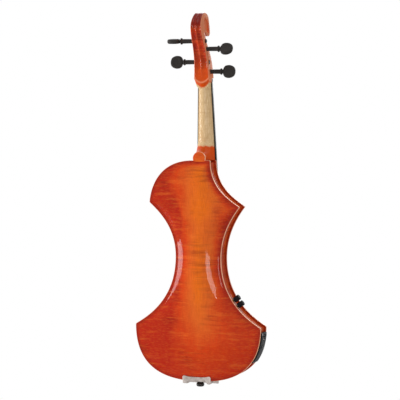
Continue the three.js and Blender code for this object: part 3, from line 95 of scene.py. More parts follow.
def soft_box(name, azimuth, rise, distance, width, height, power):
    """A lamp that faces the target. Azimuth counts from the camera, to the picture's right."""
    data = bpy.data.lights.new(name, "AREA")
    data.shape = "RECTANGLE"
    data.size = width
    data.size_y = height
    data.energy = power
    out = away(CAMERA_TURN + math.radians(azimuth), math.radians(rise))
    linked(name, data).matrix_world = Matrix.Translation(TARGET + out * distance) @ along(out)


def seen_directly(tree):
    """1 where a ray from the camera, a gloss or a clear material meets the surface, else 0."""
    path = tree.nodes.new("ShaderNodeLightPath")
    found = path.outputs["Is Camera Ray"]
    for kind in ("Is Glossy Ray", "Is Transmission Ray"):
        node = tree.nodes.new("ShaderNodeMath")
        node.operation = "MAXIMUM"
        tree.links.new(found, node.inputs[0])
        tree.links.new(path.outputs[kind], node.inputs[1])
        found = node.outputs[0]
    return found


WHITE = (1, 1, 1, 1)
AMBIENT = 0.5
FLOOR_HEIGHT = -0.3
FLOOR_RADIUS = 1.6
FLOOR_GREY = (0.86, 0.86, 0.86, 1)
# Name, azimuth and rise in degrees, distance, width and height in metres, watts.
LAMPS = (
    ("left_box", -92, 2, 1.9, 0.58, 1.0, 25),
    ("camera_box", 5, -1.2, 2.75, 0.6, 0.52, 13),
    ("front_fill", 165, 25, 2.4, 1.6, 1.6, 26),
    ("top_fill", 20, 75, 2.2, 1.4, 1.4, 14),
)


def add_surroundings():
    scene = bpy.context.scene
    scene.view_settings.view_transform = "Standard"
    world = bpy.data.worlds.new("studio")
    scene.world = world
    world.use_nodes = True
    tree = world.node_tree
    tree.nodes.clear()
    blend = tree.nodes.new("ShaderNodeMixShader")
    tree.links.new(seen_directly(tree), blend.inputs[0])
    for k, strength in enumerate((AMBIENT, 1)):
        sky = tree.nodes.new("ShaderNodeBackground")
        sky.inputs["Color"].default_value = WHITE
        sky.inputs["Strength"].default_value = strength
        tree.links.new(sky.outputs[0], blend.inputs[k + 1])
    tree.links.new(blend.outputs[0], tree.nodes.new("ShaderNodeOutputWorld").inputs[0])

    for lamp in LAMPS:
        soft_box(*lamp)

    bpy.ops.mesh.primitive_circle_add(
        vertices=96, radius=FLOOR_RADIUS, fill_type="NGON", location=(0, 0, FLOOR_HEIGHT)
    )
    floor = bpy.context.object
    floor.name = "floor"
    surface = bpy.data.materials.new("floor")
    surface.use_nodes = True
    shader = surface.node_tree.nodes["Principled BSDF"]
    shader.inputs["Base Color"].default_value = FLOOR_GREY
    shader.inputs["Roughness"].default_value = 0.9
    floor.data.materials.append(surface)


# ---------------------------------------------------------------- meshes


class Form:
    """A mesh in millimetres, as a list of points and a list of faces."""

    def __init__(self, points=(), faces=()):
        self.points = [Vector(p) for p in points]
        self.faces = [tuple(face) for face in faces]

    def add(self, *others):
        for other in others:
            base = len(self.points)
            self.points += other.points
            self.faces += [tuple(i + base for i in face) for face in other.faces]
        return self

    def moved(self, matrix):
        return Form([matrix @ p for p in self.points], self.faces)


def lofted(rings, caps=True):
    """A skin over closed rings with as many points each."""
    count = len(rings[0])
    points = [p for ring in rings for p in ring]
    faces = []
    for r in range(len(rings) - 1):
        for i in range(count):
            j = (i + 1) % count
            low, high = r * count, (r + 1) * count
            faces.append((low + i, low + j, high + j, high + i))
    if caps:
        faces.append(tuple(range(count))[::-1])
        faces.append(tuple((len(rings) - 1) * count + i for i in range(count)))
    return Form(points, faces)


def prism(outline, axis, low, high):
    """A polygon of (u, v) pairs drawn out along an axis: u and v are the other axes in order."""
    order = {"x": (2, 0, 1), "y": (0, 2, 1), "z": (0, 1, 2)}[axis]
    return lofted(
        [[Vector([(u, v, w)[k] for k in order]) for u, v in outline] for w in (low, high)]
    )


def box(low, high):
    corners = [(low[0], low[1]), (high[0], low[1]), (high[0], high[1]), (low[0], high[1])]
    return prism(corners, "z", low[2], high[2])


AXES = {
    "x": Matrix(((0, 0, 1), (1, 0, 0), (0, 1, 0))).to_4x4(),
    "y": Matrix(((0, 1, 0), (0, 0, 1), (1, 0, 0))).to_4x4(),
    "z": Matrix.Identity(4),
}


def turned(profile, sides, axis="z", centre=(0, 0, 0), radius_at=None):
    """A profile of (radius, height) pairs turned about an axis, scaled by radius_at."""

    def at(radius, height, angle):
        reach = radius * (radius_at(angle, height) if radius_at else 1)
        return Vector((reach * math.cos(angle), reach * math.sin(angle), height))

    angles = [2 * math.pi * k / sides for k in range(sides)]
    rings = [[at(radius, height, angle) for angle in angles] for radius, height in profile]
    return lofted(rings).moved(Matrix.Translation(centre) @ AXES[axis])


def rod(radius, axis, low, high, centre=(0, 0, 0), sides=40, rim=0.15):
    """A cylinder with rounded rims, between two heights along an axis."""
    rim = min(rim, radius / 3, (high - low) / 3)
    eased_rim = ((rim, 0), (rim * 0.3, rim * 0.3), (0, rim))
    profile = [(radius - inward, low + up) for inward, up in eased_rim]
    profile += [(radius - inward, high - down) for inward, down in reversed(eased_rim)]
    return turned(profile, sides, axis, centre)


def tube(path, radius, sides):
    """A round tube along a path, its rings turned as little as possible."""
    path = [Vector(p) for p in path]
    rings = []
    normal = None
    for i, p in enumerate(path):
        heading = (path[min(i + 1, len(path) - 1)] - path[max(i - 1, 0)]).normalized()
        if normal is None:
            normal = heading.orthogonal().normalized()
        normal = (normal - heading * normal.dot(heading)).normalized()
        beside = heading.cross(normal)
        reach = radius(i / (len(path) - 1)) if callable(radius) else radius
        rings.append(
            [
                p + (normal * math.cos(a) + beside * math.sin(a)) * reach
                for a in (2 * math.pi * k / sides for k in range(sides))
            ]
        )
    return lofted(rings)


WELD = 0.0005


def to_bmesh(form):
    bm = bmesh.new()
    made = [bm.verts.new(p) for p in form.points]
    for face in form.faces:
        try:
            bm.faces.new([made[i] for i in face])
        except ValueError:
            pass
    bmesh.ops.remove_doubles(bm, verts=bm.verts, dist=WELD)
    bmesh.ops.dissolve_degenerate(bm, edges=bm.edges, dist=WELD / 2)
    bmesh.ops.recalc_face_normals(bm, faces=bm.faces)
    return bm


def from_mesh(mesh):
    return Form([v.co.copy() for v in mesh.vertices], [tuple(p.vertices) for p in mesh.polygons])


def eased(form, width, angle=30, segments=2):
    """The form with its sharp edges rounded."""
    bm = to_bmesh(form)
    sharp = [
        e for e in bm.edges if e.is_manifold and abs(e.calc_face_angle(0)) > math.radians(angle)
    ]
    bmesh.ops.bevel(
        bm, geom=sharp, offset=width, segments=segments, profile=0.5, affect="EDGES",
        clamp_overlap=True,
    )
    mesh = bpy.data.meshes.new("eased")
    bm.to_mesh(mesh)
    bm.free()
    made = from_mesh(mesh)
    bpy.data.meshes.remove(mesh)
    return made


def temporary(form):
    bm = to_bmesh(form)
    bmesh.ops.triangulate(bm, faces=[face for face in bm.faces if len(face.verts) > 4])
    mesh = bpy.data.meshes.new("temporary")
    bm.to_mesh(mesh)
    bm.free()
    return linked("temporary", mesh)


def evaluated(thing):
    graph = bpy.context.evaluated_depsgraph_get()
    mesh = bpy.data.meshes.new_from_object(thing.evaluated_get(graph))
    made = from_mesh(mesh)
    bpy.data.meshes.remove(mesh)
    return made


def discard(*things):
    for thing in things:
        mesh = thing.data
        bpy.data.objects.remove(thing)
        bpy.data.meshes.remove(mesh)


def combined(form, others, operation):
    base = temporary(form)
    tools = [temporary(other) for other in others]
    for tool in tools:
        modifier = base.modifiers.new("part", "BOOLEAN")
        modifier.operation = operation
        modifier.solver = "EXACT"
        modifier.object = tool
    made = evaluated(base)
    discard(base, *tools)
    return made


def without(form, *others):
    return combined(form, others, "DIFFERENCE")


def joined(form, *others):
    return combined(form, others, "UNION")


def piece(name, form, material, body=ROOT, *, replaces=(), angle=32):
    """One named object of the scene, in metres, that rides on a body."""
    bm = to_bmesh(form)
    for face in bm.faces:
        face.smooth = True
    limit = math.radians(angle)
    for edge in bm.edges:
        edge.smooth = not edge.is_manifold or edge.calc_face_angle(0) < limit
    bmesh.ops.scale(bm, vec=(MM, MM, MM), verts=bm.verts)
    mesh = bpy.data.meshes.new(name)
    bm.to_mesh(mesh)
    bm.free()
    thing = linked(name, mesh)
    mesh.materials.append(material)
    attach(thing, body)
    if replaces:
        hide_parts(*replaces)
    return thing


def stand_in(node, form, material, angle, body=ROOT, tag=""):
    """The piece that takes a solid's place. A tag follows both names where there are several."""
    return piece(
        node + "_look" + tag, form, material, body=body, replaces=[node + tag],
        angle=angle,
    )


def measured(thing, name, value_at):
    """Stores a number for each point, for the material. value_at takes rows of (x, y, z) in mm."""
    mesh = thing.data
    places = np.empty(len(mesh.vertices) * 3)
    mesh.vertices.foreach_get("co", places)
    values = value_at(places.reshape(-1, 3) / MM)
    layer = mesh.attributes.new(name, "FLOAT", "POINT")
    layer.data.foreach_set("value", np.asarray(values, dtype=np.float32))


# ---------------------------------------------------------------- lines


def lerp(a, b, share):
    return a + (b - a) * share


def clamp(value):
    return max(0.0, min(1.0, value))


def smoothstep(value):
    value = clamp(value)
    return value * value * (3 - 2 * value)


def evenly(low, high, steps):
    return [lerp(low, high, k / steps) for k in range(steps + 1)]


def splined(points, steps, closed=True, corners=()):
    """A smooth line through points, with a corner where its number is listed."""
    points = [Vector(p) for p in points]
    count = len(points)
    made = []
    for i in range(count if closed else count - 1):
        a, b = points[i], points[(i + 1) % count]
        before = points[i - 1] if closed or i else a * 2 - b
        after = points[(i + 2) % count] if closed or i + 2 < count else b * 2 - a
        leave = (b - a) if i in corners else (b - before) / 2
        arrive = (b - a) if (i + 1) % count in corners else (after - a) / 2
        span = (b - a).length
        for tangent, other in ((leave, (a - before).length), (arrive, (after - b).length)):
            if tangent.length > 0 and other > 3 * span:
                tangent *= min(1.0, span / tangent.length)
        for k in range(steps):
            t = k / steps
            made.append(
                a * (2 * t**3 - 3 * t**2 + 1)
                + leave * (t**3 - 2 * t**2 + t)
                + b * (3 * t**2 - 2 * t**3)
                + arrive * (t**3 - t**2)
            )
    if not closed:
        made.append(points[-1].copy())
    return made


def rounded_path(points, reach, steps):
    """A line whose corners are replaced by short arcs."""
    points = [Vector(p) for p in points]
    made = [points[0]]
    for i in range(1, len(points) - 1):
        p = points[i]
        before, after = points[i - 1] - p, points[i + 1] - p
        near = min(reach, before.length / 2, after.length / 2)
        start, end = p + before.normalized() * near, p + after.normalized() * near
        for k in range(steps + 1):
            t = k / steps
            made.append(start * (1 - t) ** 2 + p * 2 * t * (1 - t) + end * t * t)
    made.append(points[-1])
    return made


def sagitta(radius, half):
    return radius - math.sqrt(radius * radius - half * half)


# ---------------------------------------------------------------- materials


class Look:
    """A node material built up in a few calls. Colours are the ones seen on a screen, 0 to 255."""

    def __init__(self, name):
        self.material = bpy.data.materials.new(name)
        self.material.use_nodes = True
        self.tree = self.material.node_tree
        self.shader = self.tree.nodes["Principled BSDF"]
        self.space = self.tree.nodes.new("ShaderNodeTexCoord").outputs["Object"]

    def feed(self, socket, value):
        if isinstance(value, bpy.types.NodeSocket):
            self.tree.links.new(value, socket)
        else:
            socket.default_value = value

    def set(self, **values):
        for name, value in values.items():
            self.feed(self.shader.inputs[name.replace("_", " ")], value)

    def attribute(self, name):
        node = self.tree.nodes.new("ShaderNodeAttribute")
        node.attribute_name = name
        return node.outputs["Fac"]

    def parts(self, vector):
        node = self.tree.nodes.new("ShaderNodeSeparateXYZ")
        self.feed(node.inputs[0], vector)
        return node.outputs

    def axis(self, name):
        return self.parts(self.space)[name]

    def facing(self, name):
        geometry = self.tree.nodes.new("ShaderNodeNewGeometry")
        return self.parts(geometry.outputs["Normal"])[name]

    def math(self, operation, a, b=0.0, clamped=False):
        node = self.tree.nodes.new("ShaderNodeMath")
        node.operation = operation
        node.use_clamp = clamped
        self.feed(node.inputs[0], a)
        self.feed(node.inputs[1], b)
        return node.outputs[0]

    def plus(self, a, b):
        return self.math("ADD", a, b)

    def minus(self, a, b, clamped=False):
        return self.math("SUBTRACT", a, b, clamped)

    def times(self, a, b, clamped=False):
        return self.math("MULTIPLY", a, b, clamped)

    def over(self, a, b):
        return self.math("DIVIDE", a, b)

    def texture(self, kind, grain, **values):
        """A pattern whose grains are so many metres wide, deep and high."""
        if not isinstance(grain, tuple):
            grain = (grain,) * 3
        mapping = self.tree.nodes.new("ShaderNodeMapping")
        self.feed(mapping.inputs["Vector"], self.space)
        mapping.inputs["Scale"].default_value = [1 / size for size in grain]
        node = self.tree.nodes.new("ShaderNodeTex" + kind)
        self.feed(node.inputs["Vector"], mapping.outputs[0])
        for name, value in values.items():
            node.inputs[name].default_value = value
        return node

    def noise(self, grain, detail=3.0, roughness=0.55, warp=0.0):
        return self.texture(
            "Noise", grain, Scale=1.0, Detail=detail, Roughness=roughness, Distortion=warp
        ).outputs["Fac"]

    def wave(self, grain, direction, warp=0.0):
        node = self.texture("Wave", grain, Scale=1.0, Distortion=warp, Detail=2.0)
        node.bands_direction = direction
        return node.outputs["Fac"]

    def cells(self, grain, feature="F1"):
        node = self.texture("Voronoi", grain, Scale=1.0)
        node.feature = feature
        return node.outputs["Distance"]

    def span(self, value, low, high, start=0.0, end=1.0):
        """A value eased from one range to another."""
        node = self.tree.nodes.new("ShaderNodeMapRange")
        node.interpolation_type = "SMOOTHSTEP"
        self.feed(node.inputs[0], value)
        for socket, number in zip(node.inputs[1:5], (low, high, start, end)):
            socket.default_value = number
        return node.outputs[0]

    def ramp(self, value, *stops):
        node = self.tree.nodes.new("ShaderNodeValToRGB")
        elements = node.color_ramp.elements
        while len(elements) < len(stops):
            elements.new(0.5)
        for element, (place, shade) in zip(elements, stops):
            element.position = place
            element.color = linear(shade)
        self.feed(node.inputs[0], value)
        return node.outputs[0]

    def blend(self, share, a, b):
        node = self.tree.nodes.new("ShaderNodeMix")
        node.data_type = "RGBA"
        self.feed(node.inputs[0], share)
        self.feed(node.inputs[6], linear(a) if isinstance(a, tuple) else a)
        self.feed(node.inputs[7], linear(b) if isinstance(b, tuple) else b)
        return node.outputs[2]

    def laid(self, base, pattern, low, high, share, shade):
        """The base with a share of a shade over it, where the pattern is high."""
        return self.blend(self.span(pattern, low, high, 0.0, share), base, shade)

    def bump(self, height, strength, distance=0.0002):
        node = self.tree.nodes.new("ShaderNodeBump")
        node.inputs["Strength"].default_value = strength
        node.inputs["Distance"].default_value = distance
        self.feed(node.inputs["Height"], height)
        self.tree.links.new(node.outputs[0], self.shader.inputs["Normal"])
        return self


def linear(shade):
    """A colour of a screen as the light it gives."""

    def one(value):
        value /= 255
        return value / 12.92 if value <= 0.04045 else ((value + 0.055) / 1.055) ** 2.4

    return (*(one(v) for v in shade), 1.0)


AMBER = (230, 108, 12)
ORANGE = (206, 60, 8)
RED = (174, 30, 5)
DEEP_RED = (124, 16, 5)
EDGE_PEACH = (246, 182, 138)


def varnished(name, grain):
    """Shaded varnish on maple or spruce: amber in the middle, red near the edge and the ends."""
    look = Look(name)
    inset = look.attribute("inset")
    height = look.axis("Z")
    across = look.axis("X")

    # How far the amber reaches: most in the waist and above it, least in the lower bout.
    middle = look.math("ABSOLUTE", look.plus(across, 0.004))
    width = look.span(height, 0.05, 0.17, 0.072, 0.040)
    width = look.plus(width, look.span(height, 0.25, 0.33, 0.0, 0.03))
    inward = look.minus(1.0, look.over(middle, width), clamped=True)
    cloud = look.noise((0.035, 0.06, 0.05), detail=4.0)
    amber = look.plus(inward, look.times(look.minus(cloud, 0.5), 0.9))
    amber = look.plus(amber, look.times(across, -3.4))
    # A darker patch near the upper corner on the treble side.
    patch_x = look.over(look.minus(across, 0.044), 0.017)
    patch_z = look.over(look.minus(height, 0.268), 0.036)
    reach = look.plus(look.times(patch_x, patch_x), look.times(patch_z, patch_z))
    amber = look.minus(amber, look.span(reach, 0.2, 1.6, 0.5, 0.0))
    amber = look.times(amber, look.span(height, 0.02, 0.17, 0.16, 1.0))
    amber = look.times(amber, look.span(inset, 0.0, 16.0), clamped=True)
    base = look.ramp(amber, (0.0, RED), (0.28, ORANGE), (0.62, (219, 96, 27)), (1.0, AMBER))

    if grain == "maple":
        flame = look.noise((0.05, 0.05, 0.0052), detail=2.5, warp=0.5)
        flame = look.span(flame, 0.4, 0.68)
        patch = look.span(look.noise((0.05, 0.05, 0.06), detail=2.0), 0.4, 0.62)
        base = look.blend(look.times(look.times(flame, patch), 0.5), base, DEEP_RED)
        glow = look.noise((0.034, 0.05, 0.0042), detail=2.0)
        base = look.laid(base, glow, 0.5, 0.78, 0.3, (235, 122, 40))
        fibre = look.noise((0.0009, 0.0009, 0.018), detail=4.0, roughness=0.7)
        base = look.laid(base, fibre, 0.42, 0.66, 0.32, (168, 52, 14))
        weave = look.noise((0.006, 0.006, 0.0011))
        base = look.laid(base, weave, 0.45, 0.7, 0.16, (236, 128, 44))
    else:
        year = look.wave((0.0042, 10.0, 0.8), "X", warp=1.6)
        base = look.laid(base, year, 0.55, 0.98, 0.55, (122, 38, 12))
        fibre = look.noise((0.0005, 0.0008, 0.03))
        base = look.laid(base, fibre, 0.4, 0.7, 0.3, (236, 130, 52))
        silk = look.noise((0.02, 0.02, 0.003), detail=2.0)
        base = look.laid(base, silk, 0.5, 0.8, 0.18, (238, 140, 60))
        fibre = year

    shade = look.span(inset, 1.4, 7.5, 0.42, 0.0)
    base = look.blend(shade, base, DEEP_RED)
    # A peach line on the plates' rounded edge: partly worn varnish, partly a painted highlight.
    wear_and_highlight = look.span(look.noise(0.012), 0.28, 0.5, 0.62, 1.0)
    base = look.blend(look.times(look.attribute("brow"), wear_and_highlight), base, EDGE_PEACH)
    look.set(
        Base_Color=base,
        Roughness=look.span(fibre, 0.3, 0.7, 0.2, 0.3),
        Coat_Weight=0.5,
        Coat_Roughness=0.04,
        Coat_IOR=1.33,
        Specular_IOR_Level=0.0,
    )
    return look.bump(look.plus(fibre, cloud), 0.05).material


def rib_varnish():
    look = Look("rib_varnish")
    flame = look.noise((0.0045, 0.06, 0.0045), detail=2.5, warp=0.6)
    cloud = look.noise(0.04)
    base = look.ramp(cloud, (0.3, (164, 52, 20)), (0.55, (190, 70, 26)), (0.75, (208, 92, 36)))
    base = look.laid(base, flame, 0.42, 0.7, 0.45, (118, 32, 15))
    fibre = look.noise((0.012, 0.0007, 0.012), detail=4.0)
    base = look.laid(base, fibre, 0.45, 0.68, 0.2, (206, 96, 46))
    look.set(
        Base_Color=base, Roughness=0.5, Specular_IOR_Level=0.0, Coat_Weight=0.12,
        Coat_Roughness=0.12,
    )
    return look.bump(fibre, 0.04).material


def bare_wood(name, light, dark, fibre_width, rough, flame=0.0, sheen=0.0):
    look = Look(name)
    fibre = look.noise((fibre_width, fibre_width, fibre_width * 34), detail=4.0)
    base = look.ramp(fibre, (0.3, dark), (0.7, light))
    if flame:
        band = look.noise((0.02, 0.02, 0.004), detail=2.0)
        base = look.laid(base, band, 0.42, 0.7, flame, dark)
    pore = look.noise((0.0003, 0.0003, 0.0022), detail=2.0)
    base = look.laid(base, pore, 0.62, 0.74, 0.5, dark)
    look.set(Base_Color=base, Roughness=look.span(fibre, 0.2, 0.8, rough - 0.06, rough + 0.08))
    if sheen:
        look.set(Coat_Weight=sheen, Coat_Roughness=0.25)
    return look.bump(fibre, 0.12, 0.0001).material


def neck_varnish():
    """Varnish on the head and heel, with bare oiled maple on the shaft between them."""
    look = Look("neck_varnish")
    height = look.axis("Z")
    across = look.axis("X")
    # The bare stretch of the shaft, ragged at both ends and bowed at the upper one.
    ragged = look.times(look.minus(look.noise(0.006), 0.5), 0.004)
    bend = look.times(look.times(across, across), -60.0)
    low = look.plus(height, look.times(ragged, 1.6))
    high = look.plus(height, look.plus(ragged, bend))
    bare = look.times(look.span(low, 0.3905, 0.3945), look.span(high, 0.4855, 0.4885, 1.0, 0.0))
    cloud = look.noise((0.018, 0.02, 0.022), detail=4.0)
    varnish = look.ramp(
        cloud, (0.3, (120, 20, 8)), (0.5, (168, 40, 12)), (0.66, (200, 62, 14)),
        (0.8, (214, 84, 20)),
    )
    heel = look.times(look.span(height, 0.395, 0.42, 1.0, 0.0), 0.8)
    varnish = look.blend(
        heel, varnish, look.ramp(cloud, (0.3, (172, 42, 15)), (0.7, (208, 74, 24)))
    )
    flame = look.noise((0.03, 0.012, 0.0042), detail=2.0, warp=0.4)
    varnish = look.laid(varnish, flame, 0.45, 0.7, 0.4, (214, 88, 30))
    fibre = look.noise((0.0008, 0.0008, 0.02), detail=4.0)
    varnish = look.laid(varnish, fibre, 0.45, 0.7, 0.3, (104, 24, 12))
    root = look.times(look.span(height, 0.495, 0.55, 1.0, 0.0), 0.8)
    varnish = look.blend(root, varnish, (212, 80, 18))
    # Darker at the top and lighter in the hollows; lighter on the side faces, a painted highlight;
    # and a peach line on the edges, partly worn varnish, partly a painted highlight.
    crest = look.times(look.span(height, 0.574, 0.588), 0.75)
    varnish = look.blend(crest, varnish, (112, 20, 12))
    varnish = look.blend(look.attribute("hollow"), varnish, (214, 88, 42))
    # Painted highlight: faces turned to either side are lightened towards peach.
    side = look.span(look.math("ABSOLUTE", look.facing("X")), 0.75, 0.95, 0.0, 0.6)
    varnish = look.blend(look.times(side, look.span(height, 0.49, 0.5)), varnish, (226, 138, 98))
    varnish = look.blend(look.attribute("brow"), varnish, (236, 158, 118))
    wood = look.ramp(fibre, (0.3, (196, 158, 108)), (0.7, (232, 204, 160)))
    wood = look.laid(wood, flame, 0.45, 0.7, 0.3, (176, 132, 84))
    look.set(
        Base_Color=look.blend(bare, varnish, wood),
        Roughness=look.span(bare, 0.0, 1.0, 0.24, 0.42),
        Specular_IOR_Level=0.0,
        Coat_Weight=look.minus(0.45, look.times(side, 0.6)),
        Coat_Roughness=0.07,
        Coat_IOR=1.33,
    )
    return look.bump(fibre, 0.03, 0.0001).material


def dark_wood(name, light, dark, rough, coat=0.0):
    look = Look(name)
    fibre = look.noise((0.0007, 0.0007, 0.02), detail=4.0, roughness=0.65)
    base = look.ramp(fibre, (0.3, dark), (0.72, light))
    pore = look.noise((0.00025, 0.00025, 0.003), detail=1.0)
    base = look.laid(base, pore, 0.6, 0.72, 0.6, (8, 7, 6))
    worn = look.span(look.noise(0.01), 0.5, 0.75, 0.0, 0.3)
    base = look.blend(worn, base, light)
    look.set(
        Base_Color=base, Roughness=look.span(fibre, 0.2, 0.8, rough - 0.06, rough + 0.1),
        Specular_IOR_Level=0.2,
    )
    if coat:
        look.set(Coat_Weight=coat, Coat_Roughness=0.15)
    return look.bump(look.plus(fibre, pore), 0.15, 0.0001).material


def metal(name, light, dark, rough):
    look = Look(name)
    streak = look.noise((0.004, 0.004, 0.0003))
    tarnish = look.noise(0.006)
    base = look.ramp(tarnish, (0.35, dark), (0.65, light))
    look.set(
        Base_Color=base,
        Metallic=1.0,
        Roughness=look.span(look.times(streak, tarnish), 0.1, 0.5, rough, rough + 0.14),
    )
    return look.bump(streak, 0.05, 0.00005).material


def moulded(name, light, dark, rough):
    look = Look(name)
    speck = look.noise(0.0003, detail=2.0)
    smear = look.noise(0.012)
    look.set(
        Base_Color=look.ramp(speck, (0.3, dark), (0.7, light)),
        Roughness=look.span(smear, 0.3, 0.7, rough - 0.05, rough + 0.12),
        Specular_IOR_Level=0.12,
    )
    return look.bump(speck, 0.2, 0.00004).material


def wound(name, light, dark, pitch, rough=0.28):
    """A string's winding, as fine rings along Z."""
    look = Look(name)
    rings = look.wave((pitch * 3, pitch * 3, pitch), "Z")
    tone = look.noise((0.003, 0.003, 0.02), detail=2.0)
    # The darker part of each ring is painted shade in the groove between turns.
    base = look.blend(look.span(rings, 0.0, 1.0, 0.0, 0.6), dark, light)
    base = look.laid(base, tone, 0.5, 0.8, 0.3, dark)
    look.set(Base_Color=base, Metallic=1.0, Roughness=rough)
    return look.bump(rings, 0.4, 0.00005).material


def circuit():
    look = Look("circuit_board")
    trace = look.span(look.cells(0.003, "DISTANCE_TO_EDGE"), 0.03, 0.06, 1.0, 0.0)
    grain = look.noise(0.0006)
    base = look.ramp(grain, (0.3, (22, 74, 40)), (0.7, (34, 104, 58)))
    base = look.blend(trace, base, (70, 140, 84))
    look.set(Base_Color=base, Roughness=0.4, Coat_Weight=0.4, Coat_Roughness=0.1)
    return look.bump(trace, 0.3, 0.00005).material


def battery_sleeve():
    look = Look("battery_case")
    height = look.noise(0.008, detail=2.0)
    scratch = look.noise((0.0005, 0.006, 0.012))
    base = look.ramp(height, (0.35, (52, 58, 66)), (0.65, (74, 82, 92)))
    base = look.laid(base, scratch, 0.6, 0.75, 0.35, (128, 134, 142))
    look.set(Base_Color=base, Metallic=0.3, Roughness=look.span(scratch, 0.3, 0.7, 0.3, 0.45))
    return look.bump(scratch, 0.06, 0.00005).material


def cork():
    look = Look("cork")
    cells = look.cells(0.0009)
    tone = look.noise(0.002, detail=4.0)
    base = look.ramp(tone, (0.3, (142, 98, 60)), (0.7, (196, 152, 104)))
    base = look.laid(base, cells, 0.3, 0.7, 0.5, (96, 60, 34))
    look.set(Base_Color=base, Roughness=0.85)
    return look.bump(cells, 0.4, 0.0001).material


def thread_wrap(name, light, dark):
    look = Look(name)
    rings = look.wave((0.001, 0.001, 0.0004), "Z", warp=0.4)
    lint = look.noise(0.0004, detail=2.0)
    # The darker part of each ring is painted shade in the groove between turns.
    base = look.blend(look.span(rings, 0.1, 0.9), dark, light)
    base = look.laid(base, lint, 0.55, 0.8, 0.3, dark)
    look.set(Base_Color=base, Roughness=0.6, Sheen_Weight=0.4)
    return look.bump(rings, 0.5, 0.00008).material


back_varnish = varnished("back_varnish", "maple")
top_varnish = varnished("top_varnish", "spruce")
rib_wood = rib_varnish()
neck_wood = neck_varnish()
bare_maple = bare_wood(
    "bare_maple", (222, 180, 124), (178, 128, 76), 0.0006, 0.5, flame=0.2, sheen=0.15
)
bare_spruce = bare_wood("bare_spruce", (226, 196, 146), (188, 150, 98), 0.0009, 0.7)
ebony = dark_wood("ebony", (44, 39, 35), (18, 16, 14), 0.4, coat=0.2)
peg_wood = dark_wood("peg_wood", (50, 45, 42), (30, 27, 25), 0.6)
nickel = metal("nickel", (232, 228, 226), (206, 200, 196), 0.16)
foot_metal = metal("clamp_metal", (190, 180, 174), (158, 148, 142), 0.42)
steel = metal("steel", (206, 206, 210), (170, 170, 176), 0.22)
brass = metal("brass", (226, 196, 128), (190, 156, 92), 0.25)
black_plastic = moulded("black_plastic", (34, 34, 36), (17, 17, 19), 0.55)
soft_black = moulded("soft_black", (26, 26, 28), (12, 12, 13), 0.6)
tail_cord = moulded("tail_cord", (38, 38, 42), (20, 20, 22), 0.38)
ivory_mark = moulded("indicator", (236, 234, 226), (214, 210, 200), 0.45)
string_windings = {
    "G": wound("string_steel_G", (202, 200, 198), (120, 118, 116), 0.0006),
    "D": wound("string_steel_D", (206, 204, 202), (128, 126, 124), 0.0005),
    "A": wound("string_steel_A", (212, 210, 208), (140, 138, 134), 0.0004),
    "E": wound("string_steel_E", (224, 222, 220), (190, 188, 186), 0.0006, rough=0.16),
}
silks = {
    "G": thread_wrap("silk_G", (74, 52, 140), (38, 24, 84)),
    "D": thread_wrap("silk_D", (60, 96, 168), (28, 50, 104)),
    "A": thread_wrap("silk_A", (60, 128, 84), (26, 70, 44)),
    "E": thread_wrap("silk_E", (186, 40, 44), (110, 18, 22)),
}
board_green = circuit()
battery_look = battery_sleeve()
cork_look = cork()


# ---------------------------------------------------------------- body

BODY_BOTTOM = 11
BODY_LENGTH = 358
BODY_TOP = BODY_BOTTOM + BODY_LENGTH
RIM_FACE = 19
RISE_INSET = 1.4
ARCH_INSET = 6
ARCH_POWER = 1.9
ARCH_RISE = 11.5
ARCH_SOFTENING = 110
SPINE_INSET = 39
SPINE_LENGTH = BODY_LENGTH - 2 * SPINE_INSET
SPINE_END_SHARE = 0.6
PLATE_THICKNESS = 3
CORNER_WIDTH = 1.8
RIB_OUTER = 3
RIB_INNER = 4.3
RIB_FACE = 14.7
SEAT_GAP = 0.3

LOWER = (106, 101)
WAIST = (38.3, 212)
TREBLE_CORNER = (84, 300)
BASS_CORNER = (-68.5, 294.5)
SHOULDER = (10, BODY_TOP)
CUTAWAY_TOP = (-18.8, BODY_TOP)
LOWER_BOUT = ((0.309, 0), (1, 0.03))
LOW_WAIST = ((0.375, 0.135), (1, 0.405))
TREBLE_WAIST = ((0, 0.515), (0.56, 0.8))
BASS_WAIST = ((0, 0.442), (0.513, 0.762))
UPPER_BOUT = ((0.003, 0.129), (0.078, 1))
CUTAWAY = ((0, 0.584), (0.6, 0.82))
STRETCH_COUNTS = (160, 96, 62, 46, 78)


def backwards(shares):
    return tuple((1 - a, 1 - u) for a, u in reversed(shares))


def mirror(p):
    return (-p[0], p[1])


def handled(start, end, shares, count=500):
    """A cubic curve whose two handles are shares of the way across and up between its ends."""
    start, end = np.array(start, float), np.array(end, float)
    first, second = (start + (end - start) * np.array(share) for share in shares)
    t = np.linspace(0, 1, count)[:, None]
    s = 1 - t
    return s**3 * start + 3 * s * s * t * first + 3 * s * t * t * second + t**3 * end


def run_along(line):
    """How far along a line each of its points lies."""
    return np.concatenate(([0], np.cumsum(np.linalg.norm(np.diff(line, axis=0), axis=1))))


def equally(line, step=None, count=None, trim=0.0):
    """The line with points at equal distances."""
    reach = run_along(line)
    count = count or max(2, int(reach[-1] / step) + 1)
    at = np.linspace(trim, reach[-1] - trim, count)
    return np.stack([np.interp(at, reach, line[:, k]) for k in (0, 1)], axis=1)


